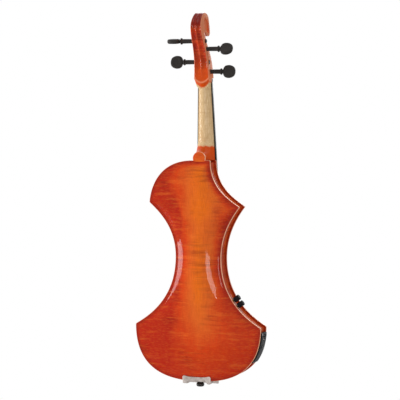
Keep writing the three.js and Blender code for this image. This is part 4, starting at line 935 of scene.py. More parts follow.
def outline_stretches():
    curves = (
        (handled(mirror(LOWER), (0, BODY_BOTTOM), backwards(LOWER_BOUT)),
         handled((0, BODY_BOTTOM), LOWER, LOWER_BOUT)),
        (handled(LOWER, WAIST, LOW_WAIST), handled(WAIST, TREBLE_CORNER, TREBLE_WAIST)),
        (handled(TREBLE_CORNER, SHOULDER, UPPER_BOUT), np.linspace(SHOULDER, CUTAWAY_TOP, 60)),
        (handled(CUTAWAY_TOP, BASS_CORNER, CUTAWAY),),
        (handled(BASS_CORNER, mirror(WAIST), backwards(BASS_WAIST)),
         handled(mirror(WAIST), mirror(LOWER), backwards(LOW_WAIST))),
    )
    whole = [
        np.concatenate([c if i == 0 else c[1:] for i, c in enumerate(group)])
        for group in curves
    ]
    return [equally(line, step=0.5) for line in whole]


OUTLINE = outline_stretches()


def moved(line, distance):
    """A line moved to its left."""
    before = np.concatenate((line[:1], line[:-1]))
    after = np.concatenate((line[1:], line[-1:]))
    along = after - before
    along /= np.linalg.norm(along, axis=1)[:, None]
    return line + np.stack((-along[:, 1], along[:, 0]), axis=1) * distance


def mitred(line, following):
    """Cuts the end of a line and the start of the next one where they cross."""
    reach = 120
    tail, head = line[-reach:], following[:reach]
    a, b = tail[:-1, None], tail[1:, None]
    c, d = head[None, :-1], head[None, 1:]
    first, second = b - a, d - c
    turn = first[..., 0] * second[..., 1] - first[..., 1] * second[..., 0]
    turn = np.where(np.abs(turn) < 1e-12, 1e-12, turn)
    gap = c - a
    s = (gap[..., 0] * second[..., 1] - gap[..., 1] * second[..., 0]) / turn
    t = (gap[..., 0] * first[..., 1] - gap[..., 1] * first[..., 0]) / turn
    hits = np.argwhere((s >= 0) & (s <= 1) & (t >= 0) & (t <= 1))
    if not len(hits):
        return line, following
    i, j = max(map(tuple, hits), key=lambda hit: hit[0])
    corner = (tail[i] + (tail[i + 1] - tail[i]) * s[i, j])[None]
    start = len(line) - len(tail)
    cut = np.concatenate((line[: start + i + 1], corner))
    return cut, np.concatenate((corner, following[j + 1 :]))


def inset_stretches(inset):
    lines = [moved(line, inset) for line in OUTLINE]
    if inset > 0:
        for k in range(len(lines)):
            following = (k + 1) % len(lines)
            lines[k], lines[following] = mitred(lines[k], lines[following])
    return lines


@functools.cache
def loop(inset):
    """The outline moved in by an inset, with as many points for every inset."""
    return np.concatenate(
        [
            equally(line, count=count, trim=CORNER_WIDTH / 2)
            for line, count in zip(inset_stretches(inset), STRETCH_COUNTS)
        ]
    )


def softened(ring, rounds):
    for _ in range(rounds):
        ring = ring * 0.5 + (np.roll(ring, 1, axis=0) + np.roll(ring, -1, axis=0)) * 0.25
    return ring


def long_arch(height):
    """The share of the full rise that the spine reaches at a height."""
    share = np.clip((height - BODY_BOTTOM - SPINE_INSET) / SPINE_LENGTH, 0, 1)
    return SPINE_END_SHARE + (1 - SPINE_END_SHARE) * np.sin(math.pi * share)


def arch_feet():
    """The arch's rise at its outermost loop, and the rise on the spine above each point of it."""
    base = loop(ARCH_INSET)
    spine = to_spine(base)
    crest = ARCH_RISE * long_arch(spine)
    easing = (ARCH_INSET - RISE_INSET) / 2
    reach = np.hypot(base[:, 0], spine - base[:, 1]) + ARCH_POWER * easing
    return ARCH_POWER * crest / reach * easing, crest


def to_spine(ring):
    """The heights on the spine that a ring's points close in on."""
    return BODY_BOTTOM + SPINE_INSET + (ring[:, 1] - BODY_BOTTOM) / BODY_LENGTH * SPINE_LENGTH


def arch_ring(share, depth=0.0):
    """A ring of the arch, from its foot at 0 to the spine at 1."""
    rounds = int(round(ARCH_SOFTENING * share))
    base = softened(loop(ARCH_INSET), rounds)
    risen, _ = arch_feet()
    risen = softened(risen, rounds)
    spine = to_spine(base)
    crest = ARCH_RISE * long_arch(spine)
    rise = crest + (risen - crest) * (1 - share) ** ARCH_POWER
    return np.stack(
        (
            base[:, 0] * (1 - share),
            RIM_FACE + rise - depth,
            base[:, 1] + (spine - base[:, 1]) * share,
        ),
        axis=1,
    )


def rim_ring(inset, face):
    ring = loop(inset)
    return np.stack((ring[:, 0], np.full(len(ring), face), ring[:, 1]), axis=1)


def eased_ring(inset):
    """A ring between the edge and the arch, where the slope grows evenly from nothing."""
    share = (inset - RISE_INSET) / (ARCH_INSET - RISE_INSET)
    ring = rim_ring(inset, RIM_FACE)
    ring[:, 1] += arch_feet()[0] * share * share
    return ring


ARCH_SHARES = (
    0.02, 0.05, 0.09, 0.14, 0.2, 0.27, 0.35, 0.43, 0.52, 0.61, 0.7, 0.79, 0.87, 0.94, 0.985
)
INNER_SHARES = (0.03, 0.18, 0.42, 0.69, 0.93, 0.985)
INNER_RIM = ((6, 15), (4.8, 15), (3.4, 15), (2, 15), (0.5, 15), (0.14, 15.14))
OUTER_RIM = (
    (0, 15.5), (0, 16.6), (0, 17.7), (0.06, 18.15), (0.24, 18.52), (0.5, 18.77), (0.78, 18.93),
    (1.08, 19),
)
EASED_INSETS = (1.4, 1.8, 2.3, 2.8, 3.3, 3.9, 4.5, 5.0, 5.5, 6)


def zipped(form, first, last):
    """Closes the slit that a plate's last ring leaves along the spine with a strip of triangles."""
    points = form.points
    ring = list(range(first, last))
    low = min(ring, key=lambda i: points[i].z)
    high = max(ring, key=lambda i: points[i].z)
    count = len(ring)

    def walk(start, end, step):
        chain, i = [start], start
        while i != end:
            i = first + (i - first + step) % count
            chain.append(i)
        return chain

    left, right = walk(low, high, 1), walk(low, high, -1)
    i = j = 0
    while i < len(left) - 1 or j < len(right) - 1:
        ahead = j == len(right) - 1 or (
            i < len(left) - 1 and points[left[i + 1]].z <= points[right[j + 1]].z
        )
        corner = left[i + 1] if ahead else right[j + 1]
        face = (left[i], right[j], corner)
        if len(set(face)) == 3:
            form.faces.append(face)
        i, j = (i + 1, j) if ahead else (i, j + 1)


def plate_form(filled=False):
    """The back plate, or the room that it and the hollow below it take up."""
    inner = [arch_ring(share, PLATE_THICKNESS) for share in reversed(INNER_SHARES)]
    inner += [rim_ring(inset, face) for inset, face in INNER_RIM]
    if filled:
        for ring in inner:
            ring[:, 1] = 0
    outer = [rim_ring(inset, face) for inset, face in OUTER_RIM]
    outer += [eased_ring(inset) for inset in EASED_INSETS]
    outer += [arch_ring(share) for share in ARCH_SHARES]
    rings = inner + outer
    count = len(rings[0])
    form = lofted([[Vector(p) for p in ring] for ring in rings], caps=False)
    zipped(form, 0, count)
    zipped(form, len(form.points) - count, len(form.points))
    return form


def room_behind(side, gap):
    """A cutter for what sits on the body: its room on one side, grown out by a gap."""
    return FILLED_PLATE.moved(
        Matrix.Translation((0, side * gap, 0)) @ Matrix.Scale(side, 4, (0, 1, 0))
    )


FILLED_PLATE = plate_form(filled=True)


OUTLINE_LINE = np.concatenate([equally(line, step=1.2) for line in OUTLINE])
OUTLINE_NEXT = np.roll(OUTLINE_LINE, -1, axis=0)
BATCH = 512


def edge_distance(places):
    """How far points lie from the body's outline, seen from the back."""
    flat = places[:, (0, 2)]
    span = OUTLINE_NEXT - OUTLINE_LINE
    square = np.maximum((span**2).sum(axis=1), 1e-9)
    distance = np.empty(len(flat))
    for k in range(0, len(flat), BATCH):
        part = flat[k : k + BATCH, None] - OUTLINE_LINE[None]
        t = np.clip((part * span).sum(axis=2) / square, 0, 1)
        gap = part - span * t[..., None]
        distance[k : k + BATCH] = np.sqrt((gap**2).sum(axis=2)).min(axis=1)
    return distance


def brow(places):
    """1 on the rounded outer edge of a plate, 0 elsewhere."""
    inset = edge_distance(places)
    face = np.abs(places[:, 1])
    low, high = np.clip((face - 15.2) / 0.4, 0, 1), np.clip((18.9 - face) / 0.5, 0, 1)
    return np.clip((0.7 - inset) / 0.4, 0, 1) * low * high


def add_plate(name, form, material, node):
    thing = piece(name, form, material, replaces=[node], angle=40)
    measured(thing, "inset", edge_distance)
    measured(thing, "brow", brow)
    return thing


BUTTON_RADIUS = 10.6
BUTTON_Z = 372.6
BUTTON_RIM = ((0.5, 15), (0.1, 15.15), (0, 15.6), (0, 17.8), (0.22, 18.5), (0.7, 18.9), (1.4, 19))

HOLE_UPPER = (22, 203)
HOLE_LOWER = (36, 141)
HOLE_SHARES = ((0.64, -0.18), (0.14, 1.16))
SLOT_ENDS = 2.6
SLOT_MIDDLE = 5.6
NICK_DEPTH = 1.1


def sound_hole(side):
    """A cutter for one sound hole: two eyes and a curved slot with a nick in each of its edges."""
    steps = 40
    middle = equally(handled(HOLE_UPPER, HOLE_LOWER, HOLE_SHARES), count=steps + 1)
    share = np.sin(np.pi * np.linspace(0, 1, steps + 1))
    half = (SLOT_ENDS + (SLOT_MIDDLE - SLOT_ENDS) * share) / 2
    half[steps // 2] += NICK_DEPTH
    side_step = (moved(middle, 1.0) - middle) * half[:, None]
    left, right = middle + side_step, middle - side_step
    slot = [tuple(p) for p in np.concatenate((left, right[::-1]))]
    eyes = [
        rod(radius, "y", -40, -10, (x, 0, z), sides=32)
        for (x, z), radius in ((HOLE_UPPER, 3.2), (HOLE_LOWER, 4.2))
    ]
    whole = joined(prism(slot, "y", -40, -10), *eyes)
    return whole if side > 0 else whole.moved(Matrix.Scale(-1, 4, (1, 0, 0)))


def add_plates():
    shell = plate_form()
    rim = [(BUTTON_RADIUS - inward, face) for inward, face in BUTTON_RIM]
    button = turned(rim, 72, "y", (0, 0, BUTTON_Z))
    back = add_plate("back", joined(shell, button), back_varnish, "back_plate")
    inset = back.data.attributes["inset"].data
    worn = back.data.attributes["brow"].data
    # On the button the inset counts from its own rim, and the peach edge line, worn varnish with a
    # painted highlight, runs round its side.
    for vertex in back.data.vertices:
        x, y, z = vertex.co / MM
        if z > BODY_TOP - 2:
            reach = math.hypot(x, z - BUTTON_Z)
            if reach < BUTTON_RADIUS + 0.5:
                inset[vertex.index].value = max(BUTTON_RADIUS - reach, 0) + 7
                side = clamp((reach - BUTTON_RADIUS + 0.7) / 0.4)
                worn[vertex.index].value = side * clamp((18.9 - y) / 0.5)
    top = shell.moved(Matrix.Scale(-1, 4, (0, 1, 0)))
    tenon = box((-10.8, -45, 359.7), (10.8, 0, 400))
    saddle_room = box((-17.3, -30, 5), (17.3, -10, 18.7))
    top = without(top, sound_hole(1), sound_hole(-1), tenon, saddle_room)
    add_plate("top", top, top_varnish, "top_plate")


def strip(k, outer, inner, half):
    """A rib: a thin strip of the body's side between two insets, its edges hidden by the plates."""
    lines = [
        equally(inset_stretches(inset)[k], count=STRETCH_COUNTS[k] * 2, trim=SEAT_GAP / 2)
        for inset in (outer, inner)
    ]
    outside, inside = (-half, -half / 3, half / 3, half), (half, -half)
    return lofted(
        [
            [Vector((p[0], y, p[1])) for p, faces in ((a, outside), (b, inside)) for y in faces]
            for a, b in zip(*lines)
        ]
    )


def rib_frame(origin, outward):
    """X points out of the body, Y to the back and Z down the bass side."""
    out = Vector(outward).normalized()
    up = Vector((0, 1, 0))
    turn = Matrix((out, up, out.cross(up))).transposed().to_4x4()
    return Matrix.Translation(origin) @ turn


DOOR_FRAME = rib_frame((-97.875, 0, 57.6), (-0.90861, 0, -0.41764))
KNOB_OUT = Vector((-0.80797, 0, 0.58922))
KNOB_SEATS = {"volume_knob": Vector((-56.64, 0, 143.28)), "tone_knob": Vector((-63.12, 0, 134.39))}
JACK_X = -106.947
JACK_Z = 85.5


def add_ribs():
    names = ("rib_lower", "rib_waist_treble", "rib_upper", "rib_cutaway", "rib_waist_bass")
    sleeve = box((-70, -10.55, -15.05), (20, 10.55, 15.05)).moved(DOOR_FRAME)
    jack_room = rod(5.7, "x", JACK_X - 5, JACK_X + 25, (0, 0, JACK_Z))
    shafts = [
        rod(1.9, "z", -12, 12).moved(Matrix.Translation(seat) @ along(KNOB_OUT))
        for seat in KNOB_SEATS.values()
    ]
    cutters = {
        "rib_lower": [sleeve, jack_room, rod(4, "z", 0, 40)],
        "rib_upper": [box((-10.8, -20, 350), (10.8, 20, 400))],
        "rib_waist_bass": shafts,
    }
    for k, name in enumerate(names):
        form = strip(k, RIB_OUTER, RIB_INNER, RIB_FACE)
        if name in cutters:
            form = without(form, *cutters[name])
        piece(name + "_look", form, rib_wood, replaces=[name])


# ---------------------------------------------------------------- neck, fingerboard, nut and head

NUT_Z = 497
BOARD_END = 229
BOARD_RADIUS = 42
HEAD_DEPTH = 60
HEAD_LENGTH = 109.3
HEAD_FRONT = -17.6
PEG_RADIUS = 3.7
BOARD_LENGTH = NUT_Z - BOARD_END
BOARD_EDGE = 5


def board_face(z):
    """The middle of the fingerboard's playing face, which falls towards the bridge."""
    return -17.3 - 0.1236 * (NUT_Z - z)


def board_half(z):
    return lerp(24, 42.5, (NUT_Z - z) / BOARD_LENGTH) / 2


def edge_under(z):
    return board_face(z) + sagitta(BOARD_RADIUS, board_half(z)) + BOARD_EDGE


def board_under(z):
    return lerp(edge_under(NUT_Z), edge_under(BOARD_END), (NUT_Z - z) / BOARD_LENGTH)


def glue_face(z):
    return board_under(z) + SEAT_GAP


def neck_back(z):
    return board_face(z) + lerp(18.5, 21, clamp((NUT_Z - z) / 102))


HEEL_TOP = BODY_TOP + 52
SHAFT_INSET = 2.1
SHAFT_OVERLAP = 2
HEEL_DEPTHS = (0, 0.14, 0.3, 0.46, 0.6, 0.72, 0.85, 1)
HEEL_RISES = (0.01, 0.035, 0.085, 0.165, 0.29, 0.44, 0.64, 1)


def half_turn(steps):
    return [math.pi * k / steps for k in range(steps + 1)]


def heel_section(share):
    """The heel's arched outline, from the button at 0 to the fingerboard at 1."""
    depth = lerp(RIB_FACE, glue_face(HEEL_TOP), share)
    half = lerp(BUTTON_RADIUS - 0.3, 15.8, share)
    rise_share = float(np.interp(share, HEEL_DEPTHS, HEEL_RISES))
    rise = BUTTON_RADIUS + (HEEL_TOP - BUTTON_Z - BUTTON_RADIUS) * rise_share
    base = BODY_TOP + SEAT_GAP
    return [Vector((-half, depth, base)), Vector((half, depth, base))] + [
        Vector((half * math.cos(a), depth, BUTTON_Z + rise * math.sin(a))) for a in half_turn(40)
    ]


def shaft_section(z):
    """The shaft's round back, and a margin in front of the fingerboard's seat."""
    half, front = board_half(z) - SHAFT_INSET, glue_face(z)
    depth = neck_back(z) - front
    return [
        Vector((half * math.cos(a), front + depth * math.sin(a), z)) for a in half_turn(48)
    ] + [Vector((side * half, front - SHAFT_OVERLAP, z)) for side in (-1, 1)]


def add_shaft():
    """The shaft and the heel, blended into each other, with a flat face for the fingerboard."""
    low, high = BODY_TOP + SEAT_GAP, NUT_Z + 2.5
    shaft = lofted([shaft_section(z) for z in evenly(low - 1.5, high + 1.5, 60)])
    heel = lofted([heel_section(share) for share in evenly(0, 1, 40)])
    seat = temporary(joined(shaft, heel))
    remesh = seat.modifiers.new("even", "REMESH")
    remesh.mode = "VOXEL"
    remesh.voxel_size = 0.75
    smooth = seat.modifiers.new("soft", "SMOOTH")
    smooth.factor = 0.5
    smooth.iterations = 9
    form = evaluated(seat)
    discard(seat)
    bottom, top, wide, front = 340, 520, 40, -90
    before = lofted(
        [
            [
                Vector((x, y, z))
                for x, y in (
                    (-wide, front), (wide, front), (wide, glue_face(z)), (-wide, glue_face(z)),
                )
            ]
            for z in (bottom, top)
        ]
    )
    form = without(
        form, before, box((-wide, front, bottom), (wide, wide, low)),
        box((-wide, front, high), (wide, wide, top)),
    )
    tenon = eased(
        box((-10.5, glue_face(BODY_TOP), BODY_TOP - 9), (10.5, 14.6, BODY_TOP + 0.6)), 0.4
    )
    form.add(tenon)
    thing = piece("neck_shaft", form, neck_wood, replaces=["neck"], angle=50)
    # The shaft shares the head's varnish, but has no peach edge line (worn varnish with a painted
    # highlight) and no hollows.
    for name in ("brow", "hollow"):
        measured(thing, name, lambda p: np.zeros(len(p)))


HEAD_SHARES = (
    (0.296, -0.101), (0.369, -0.069), (0.449, -0.027), (0.445, 0.055), (0.475, 0.165),
    (0.538, 0.311),
    (0.638, 0.43), (0.757, 0.535), (0.89, 0.636), (0.978, 0.727), (1, 0.814), (0.937, 0.883),
    (0.816, 0.947), (0.641, 0.994), (0.442, 1), (0.272, 0.953), (0.209, 0.851), (0.179, 0.746),
    (0.216, 0.688), (0.314, 0.665), (0.492, 0.677), (0.645, 0.718), (0.608, 0.65), (0.5, 0.567),
    (0.375, 0.494), (0.251, 0.421), (0.135, 0.329), (0.06, 0.229), (0.013, 0.128), (0, 0.051),
    (0.124, 0.051), (0.124, -0.101),
)
HEAD_CORNERS = (0, 2, 21, 29, 30, 31)
HEAD_OUTER_CORNERS = (0, 2, 29, 31)
HEAD_STEPS = 6
HEAD_ROOT = 7
CHIN_RISE = 7
CHIN_FRONT = 1.5
CHIN_RISES = (0, 0.8, 1, 0.3, 0)
FLUTE_DEPTH = 1.5
FLUTE_HALF = 0.885
FLUTE_RUN = (3, 13.5)
FLUTE_FADE = 1.6
HEAD_LEVELS = (
    (0.04, 0), (0.1, 0), (0.2, 0), (0.32, 0), (0.44, 0), (0.56, 0), (0.68, 0), (0.79, 0),
    (0.865, 0),
    (0.885, 0), (0.915, 0.16), (0.95, 0.42), (0.98, 0.75), (1, 1.1),
)
RECESS_SHARES = (
    (0.3, 0.72), (0.5, 0.735), (0.7, 0.79), (0.74, 0.86), (0.62, 0.92), (0.42, 0.92), (0.3, 0.85),
)
RECESS_LEVELS = ((11, 1.06), (9.2, 1.02), (7.9, 0.97), (6.6, 0.9), (5.9, 0.82), (5.8, 0.72))


def head_point(share):
    return (HEAD_FRONT + share[0] * HEAD_DEPTH, NUT_Z + share[1] * HEAD_LENGTH)


def head_line():
    rough = [Vector(head_point(share)) for share in HEAD_SHARES]
    return np.array([tuple(p) for p in splined(rough, HEAD_STEPS, corners=HEAD_CORNERS)])


def head_half(z):
    """Half the head's width, which tapers from its root to the hook."""
    return lerp(12.6, 7.8, (z - NUT_Z - HEAD_ROOT) / (HEAD_LENGTH - HEAD_ROOT))


def inward_normals(line):
    """Unit normals of a closed line, turned to its inside."""
    following = np.roll(line, -1, axis=0)
    across = following - np.roll(line, 1, axis=0)
    across /= np.maximum(np.linalg.norm(across, axis=1), 1e-9)[:, None]
    area = (line[:, 0] * following[:, 1] - following[:, 0] * line[:, 1]).sum()
    return np.stack((-across[:, 1], across[:, 0]), axis=1) * (1 if area > 0 else -1)


def inset_room(line):
    """How far each point of the head's profile may move in: less beside the outer corners."""
    corners = [line[k * HEAD_STEPS] for k in HEAD_OUTER_CORNERS]
    return [0.2 + 0.4 * min(float(np.linalg.norm(p - corner)) for corner in corners) for p in line]


def head_ring(line, normals, share, inset):
    """The head's profile at a share of its half width: fluted at the back, with a round chin."""
    ring = []
    first, last = FLUTE_RUN
    room = inset_room(line)
    for i, (p, normal) in enumerate(zip(line, normals)):
        place = i / HEAD_STEPS
        flute = 0.0
        if first <= place <= last and abs(share) < FLUTE_HALF:
            ends = min(1.0, (place - first) / FLUTE_FADE, (last - place) / FLUTE_FADE)
            across = math.sin(math.pi * abs(share) / FLUTE_HALF) ** 0.8
            flute = FLUTE_DEPTH * across * max(0.0, ends)
        rise = CHIN_RISE * share * share * float(np.interp(place, range(5), CHIN_RISES))
        inward = min(inset, room[i]) + flute
        y = p[0] + normal[0] * inward
        z = p[1] + normal[1] * inward + rise
        ring.append(Vector((share * head_half(z), y, z)))
    return ring


def head_cutters(line, normals):
    """The pegbox's room, the fingerboard's seat, the recesses beside the hook and the peg holes."""
    inner = line + normals * 2.8
    floor = [tuple(p) for p in inner[3 * HEAD_STEPS : 8 * HEAD_STEPS : 2]]
    front = [
        head_point(s)
        for s in ((0.6, 0.67), (0.5, 0.6), (0.1, 0.47), (-0.2, 0.23), (-0.2, 0.025), (0.1, 0.025))
    ]
    shape = floor + front
    span = floor[-1][1] - NUT_Z

    def wall(side):
        return [Vector((side * lerp(9, 5.3, clamp((z - NUT_Z) / span)), y, z)) for y, z in shape]

    room = lofted([wall(-1), wall(1)])
    seat = box((-20, -40, NUT_Z - 0.3), (20, glue_face(NUT_Z), NUT_Z + 5.3))
    inside = [tuple(p) for p in splined([Vector(head_point(s)) for s in RECESS_SHARES], 6)]
    middle = Vector((sum(p[0] for p in inside), sum(p[1] for p in inside))) / len(inside)
    cutters = [room, seat]
    for side in (-1, 1):
        rings = [
            [
                Vector((side * reach, lerp(middle[0], p[0], scale), lerp(middle[1], p[1], scale)))
                for p in inside
            ]
            for reach, scale in RECESS_LEVELS
        ]
        cutters.append(lofted(rings))
    for row in STRINGS:
        y, z = row.centre
        cutters.append(rod(PEG_RADIUS + 0.15, "x", -20, 20, (0, y, z), sides=32, rim=0.01))
    return cutters


def add_head():
    """A pegbox fluted at the back that ends in a hook, its root narrowed onto the shaft."""
    line = head_line()
    normals = inward_normals(line)
    levels = [(-share, inset) for share, inset in reversed(HEAD_LEVELS)] + [(0, 0), *HEAD_LEVELS]
    form = lofted([head_ring(line, normals, share, inset) for share, inset in levels])
    form = without(form, *head_cutters(line, normals))
    # The root narrows onto the shaft, and more so between the fingerboard and the chin.
    for p in form.points:
        below = clamp((NUT_Z + HEAD_ROOT - p.z) / 12)
        p.x *= 1 - 0.17 * below**1.5
        if p.y < CHIN_FRONT:
            p.x *= 1 - 0.4 * below * clamp((p.y + 12) / 13) ** 2
    thing = piece("neck_head", form, neck_wood, replaces=["neck"], angle=34)

    # The peach line along the head's side edges and round the chin: worn varnish with a painted
    # highlight.
    def edge_wear_and_highlight(p):
        share = np.abs(p[:, 0]) / head_half(p[:, 2])
        chin = np.clip(1 - np.abs(p[:, 2] - 495 - 8 * share**2) / 2, 0, 1) * (p[:, 1] > CHIN_FRONT)
        return np.maximum(np.clip(1 - np.abs(share - 0.96) / 0.06, 0, 1) * 0.8, chin * 0.8)

    def hollow(p):
        share = np.abs(p[:, 0]) / head_half(p[:, 2])
        ridge = np.clip(1 - share / 0.1, 0, 1) * np.clip((p[:, 2] - 500) / 10, 0, 1)
        ridge *= np.clip((584 - p[:, 2]) / 10, 0, 1)
        sunk = (share > 0.6) & (share < 0.985) & (p[:, 1] < 26) & (p[:, 2] > 574) & (p[:, 2] < 600)
        return np.maximum(ridge * 0.6, sunk * 0.8)

    measured(thing, "brow", edge_wear_and_highlight)
    measured(thing, "hollow", hollow)


def add_fingerboard():
    """Straight, round on top, with softened edges and a hollow under the free end."""

    def section(z, shrink):
        half = board_half(z) - shrink
        top = [
            Vector((x, board_face(z) + sagitta(BOARD_RADIUS, abs(x)) + shrink, z))
            for x in evenly(-half + 0.5, half - 0.5, 28)
        ]
        side_top = board_face(z) + sagitta(BOARD_RADIUS, half) + shrink
        under = board_under(z) - shrink
        right = [
            Vector((half - 0.15, side_top + 0.12, z)), Vector((half, side_top + 0.55, z)),
            Vector((half, under - 0.4, z)), Vector((half - 0.3, under, z)),
        ]
        left = [Vector((-p.x, p.y, p.z)) for p in reversed(right)]
        return top + right + left

    stations = [(BOARD_END, 0.45), (BOARD_END + 0.2, 0.15), (BOARD_END + 0.6, 0)]
    stations += [(z, 0) for z in evenly(BOARD_END + 4, NUT_Z - 1, 30)]
    stations += [(NUT_Z - 0.5, 0), (NUT_Z - 0.3, 0.1)]
    form = lofted([section(z, shrink) for z, shrink in stations])
    hollow = []
    for z in evenly(BOARD_END - 2, BODY_TOP - 14, 12):
        depth = 3.2 * smoothstep((BODY_TOP - 14 - z) / 60)
        half = board_half(max(z, BOARD_END)) - 4.5
        under = board_under(z)
        ring = [Vector((half, under + 3, z)), Vector((-half, under + 3, z))]
        ring += [
            Vector((-half * math.cos(a), under - depth * math.sin(a) - 0.01, z))
            for a in evenly(0, math.pi, 12)
        ]
        hollow.append(ring)
    form = without(form, lofted(hollow))
    stand_in("fingerboard", form, ebony, 30)


def nut_face(x):
    return board_face(NUT_Z) + sagitta(BOARD_RADIUS, abs(x)) - 0.7


def add_nut():
    def section(z, drop):
        top = [Vector((x, nut_face(x) + drop, z)) for x in evenly(-11.6, 11.6, 40)]
        under = glue_face(NUT_Z) - 0.3
        sides = [Vector((12, nut_face(12) + drop + 0.4, z)), Vector((12, under, z))]
        return top + sides + [Vector((-12, under, z)), Vector((-12, nut_face(12) + drop + 0.4, z))]

    stations = (
        (0, 0.25), (0.3, 0.05), (0.8, 0), (2, 0.02), (3.4, 0.3), (4.4, 0.8), (4.85, 1.4), (5, 1.9)
    )
    form = lofted([section(NUT_Z + up, drop) for up, drop in stations])
    grooves = []
    for row in STRINGS:
        x, radius = row.rank * NUT_SPACING, row.diameter / 2
        y = nut_face(x) - STRING_SEAT - radius
        line = ((x, y, NUT_Z - 1), (x, y, NUT_Z + 2.4), (x, y + 0.9, NUT_Z + 6))
        grooves.append(tube(line, radius + 0.16, 16))
    form = without(form, *grooves)
    stand_in("nut", form, ebony, 30)


# ---------------------------------------------------------------- strings, pegs and bridge

StringRow = collections.namedtuple("StringRow", "note rank side centre turn diameter")
STRINGS = (
    StringRow("G", -1.5, -1, (-2.0, 512.8485), 0.1, 0.8),
    StringRow("D", -0.5, -1, (14.38, 548.4803), 0.55, 0.75),
    StringRow("A", 0.5, 1, (20.38, 560.7219), 1.45, 0.7),
    StringRow("E", 1.5, 1, (3.70, 528.0412), 0.15, 0.5),
)
BRIDGE_Z = 172
BRIDGE_TOP = -63.5
STRING_ARCH = 42
STRING_SEAT = 0.45
TUNER_SPACING = 9
BRIDGE_SPACING = 11.2
NUT_SPACING = 5.5
TAIL_TILT = 0.198605
TAIL_FRAME = Matrix.Translation((0, -31.5, 13)) @ Matrix.Rotation(TAIL_TILT, 4, "X")
TAIL_END = 108
PIN_Z = TAIL_END - 14.5
SCREW_Z = TAIL_END - 33.8
GUT_X = 5.6
GUT_Y = 4.1
GUT_Z = 9
GUT_RADIUS = 1.1


def tail_face(x):
    return 2.2 + sagitta(STRING_ARCH, abs(x))


def bridge_face(x):
    return BRIDGE_TOP + sagitta(STRING_ARCH, abs(x))


PEG_PROFILE = (
    (2.4, -12), (2.8, -11.7), (3.0, -11.1), (3.05, -6), (3.4, 9.3), (3.6, 20), (3.7, 28.6),
    (4.0, 29.0), (4.75, 29.25), (5.15, 29.6), (5.2, 30.1), (5.2, 31.0), (5.0, 31.4), (4.4, 31.7),
    (3.5, 31.95), (2.9, 32.3), (2.75, 32.9), (2.9, 33.6), (3.1, 34.4), (3.1, 36.4),
)
PEG_HEAD = [
    (-2.9, 33.0), (-4.6, 33.7), (-7.4, 35.0), (-9.6, 37.6), (-10.5, 41.6), (-10.2, 46.0),
    (-8.4, 50.2), (-5.2, 53.0), (0, 54.0),
]
PEG_LEVELS = ((1.2, 0.99), (2.4, 0.95), (3.4, 0.86), (3.7, 0.72), (3.4, 0.55), (3.2, 0.3))


def add_pegs():
    """Each peg: a thin shaft, a collar and a flat head with a waist next to the collar."""
    full = PEG_HEAD + [(-a, b) for a, b in reversed(PEG_HEAD[:-1])]
    line = splined([Vector(p) for p in full], 5, corners=(0, len(full) - 1))
    middle = Vector((0, 43.5))
    levels = [(-level, scale) for level, scale in reversed(PEG_LEVELS)] + [(0, 1.0), *PEG_LEVELS]
    head = lofted(
        [
            [Vector((level, *(middle + (p - middle) * scale)[:])) for p in line]
            for level, scale in levels
        ]
    )
    for row in STRINGS:
        hole_z = 2.4 if abs(row.rank) < 1 else 4.4
        string_hole = rod(0.55, "x", -8, 8, (0, 0, hole_z), sides=16, rim=0.05)
        shaft = without(turned(PEG_PROFILE, 48), string_hole)
        form = Form().add(shaft, head)
        y, z = row.centre
        turn = Matrix.Rotation(row.turn, 4, "X")
        across = Matrix.Rotation(math.pi if row.side < 0 else 0, 4, "Z")
        place = Matrix.Translation((0, y, z)) @ turn @ across @ AXES["x"]
        tag = "_" + row.note
        stand_in("peg", form.moved(place), peg_wood, 38, body="peg" + tag, tag=tag)


def string_route(row):
    radius = row.diameter / 2
    tail_x = row.rank * TUNER_SPACING
    tail_y = tail_face(tail_x) - 2.3
    at_tail = [TAIL_FRAME @ Vector((tail_x, tail_y, h)) for h in (TAIL_END - 12.8, TAIL_END - 4.2)]
    bridge_x, nut_x = row.rank * BRIDGE_SPACING, row.rank * NUT_SPACING
    bridge = Vector((bridge_x, bridge_face(bridge_x) - STRING_SEAT - radius, BRIDGE_Z))
    nut_y = nut_face(nut_x) - STRING_SEAT - radius
    nut = [Vector((nut_x, nut_y, h)) for h in (NUT_Z + 0.3, NUT_Z + 5.3)]
    y, z = row.centre
    reach = 3.4 + 0.3 + radius
    to_peg = Vector((y - nut_y, z - (NUT_Z + 5.3)))
    heading = math.atan2(to_peg.y, to_peg.x) + math.asin(reach / to_peg.length)
    first = heading + math.pi / 2
    wind_x = row.side * (1 + (2.1 if abs(row.rank) > 1 else 0))
    winding = []
    for k in range(67):
        turn = 2.75 * k / 66
        angle = first - 2 * math.pi * turn
        across = wind_x + row.side * 1.35 * turn
        winding.append(Vector((across, y + reach * math.cos(angle), z + reach * math.sin(angle))))
    straight = rounded_path([*at_tail, bridge, *nut, winding[0]], 1.2, 4)
    return at_tail, bridge, nut, straight, winding


def evened(path, step):
    """More points on the long straight parts of a path."""
    made = [path[0]]
    for a, b in zip(path, path[1:]):
        steps = max(1, int((b - a).length / step))
        made += [a.lerp(b, k / steps) for k in range(1, steps + 1)]
    return made


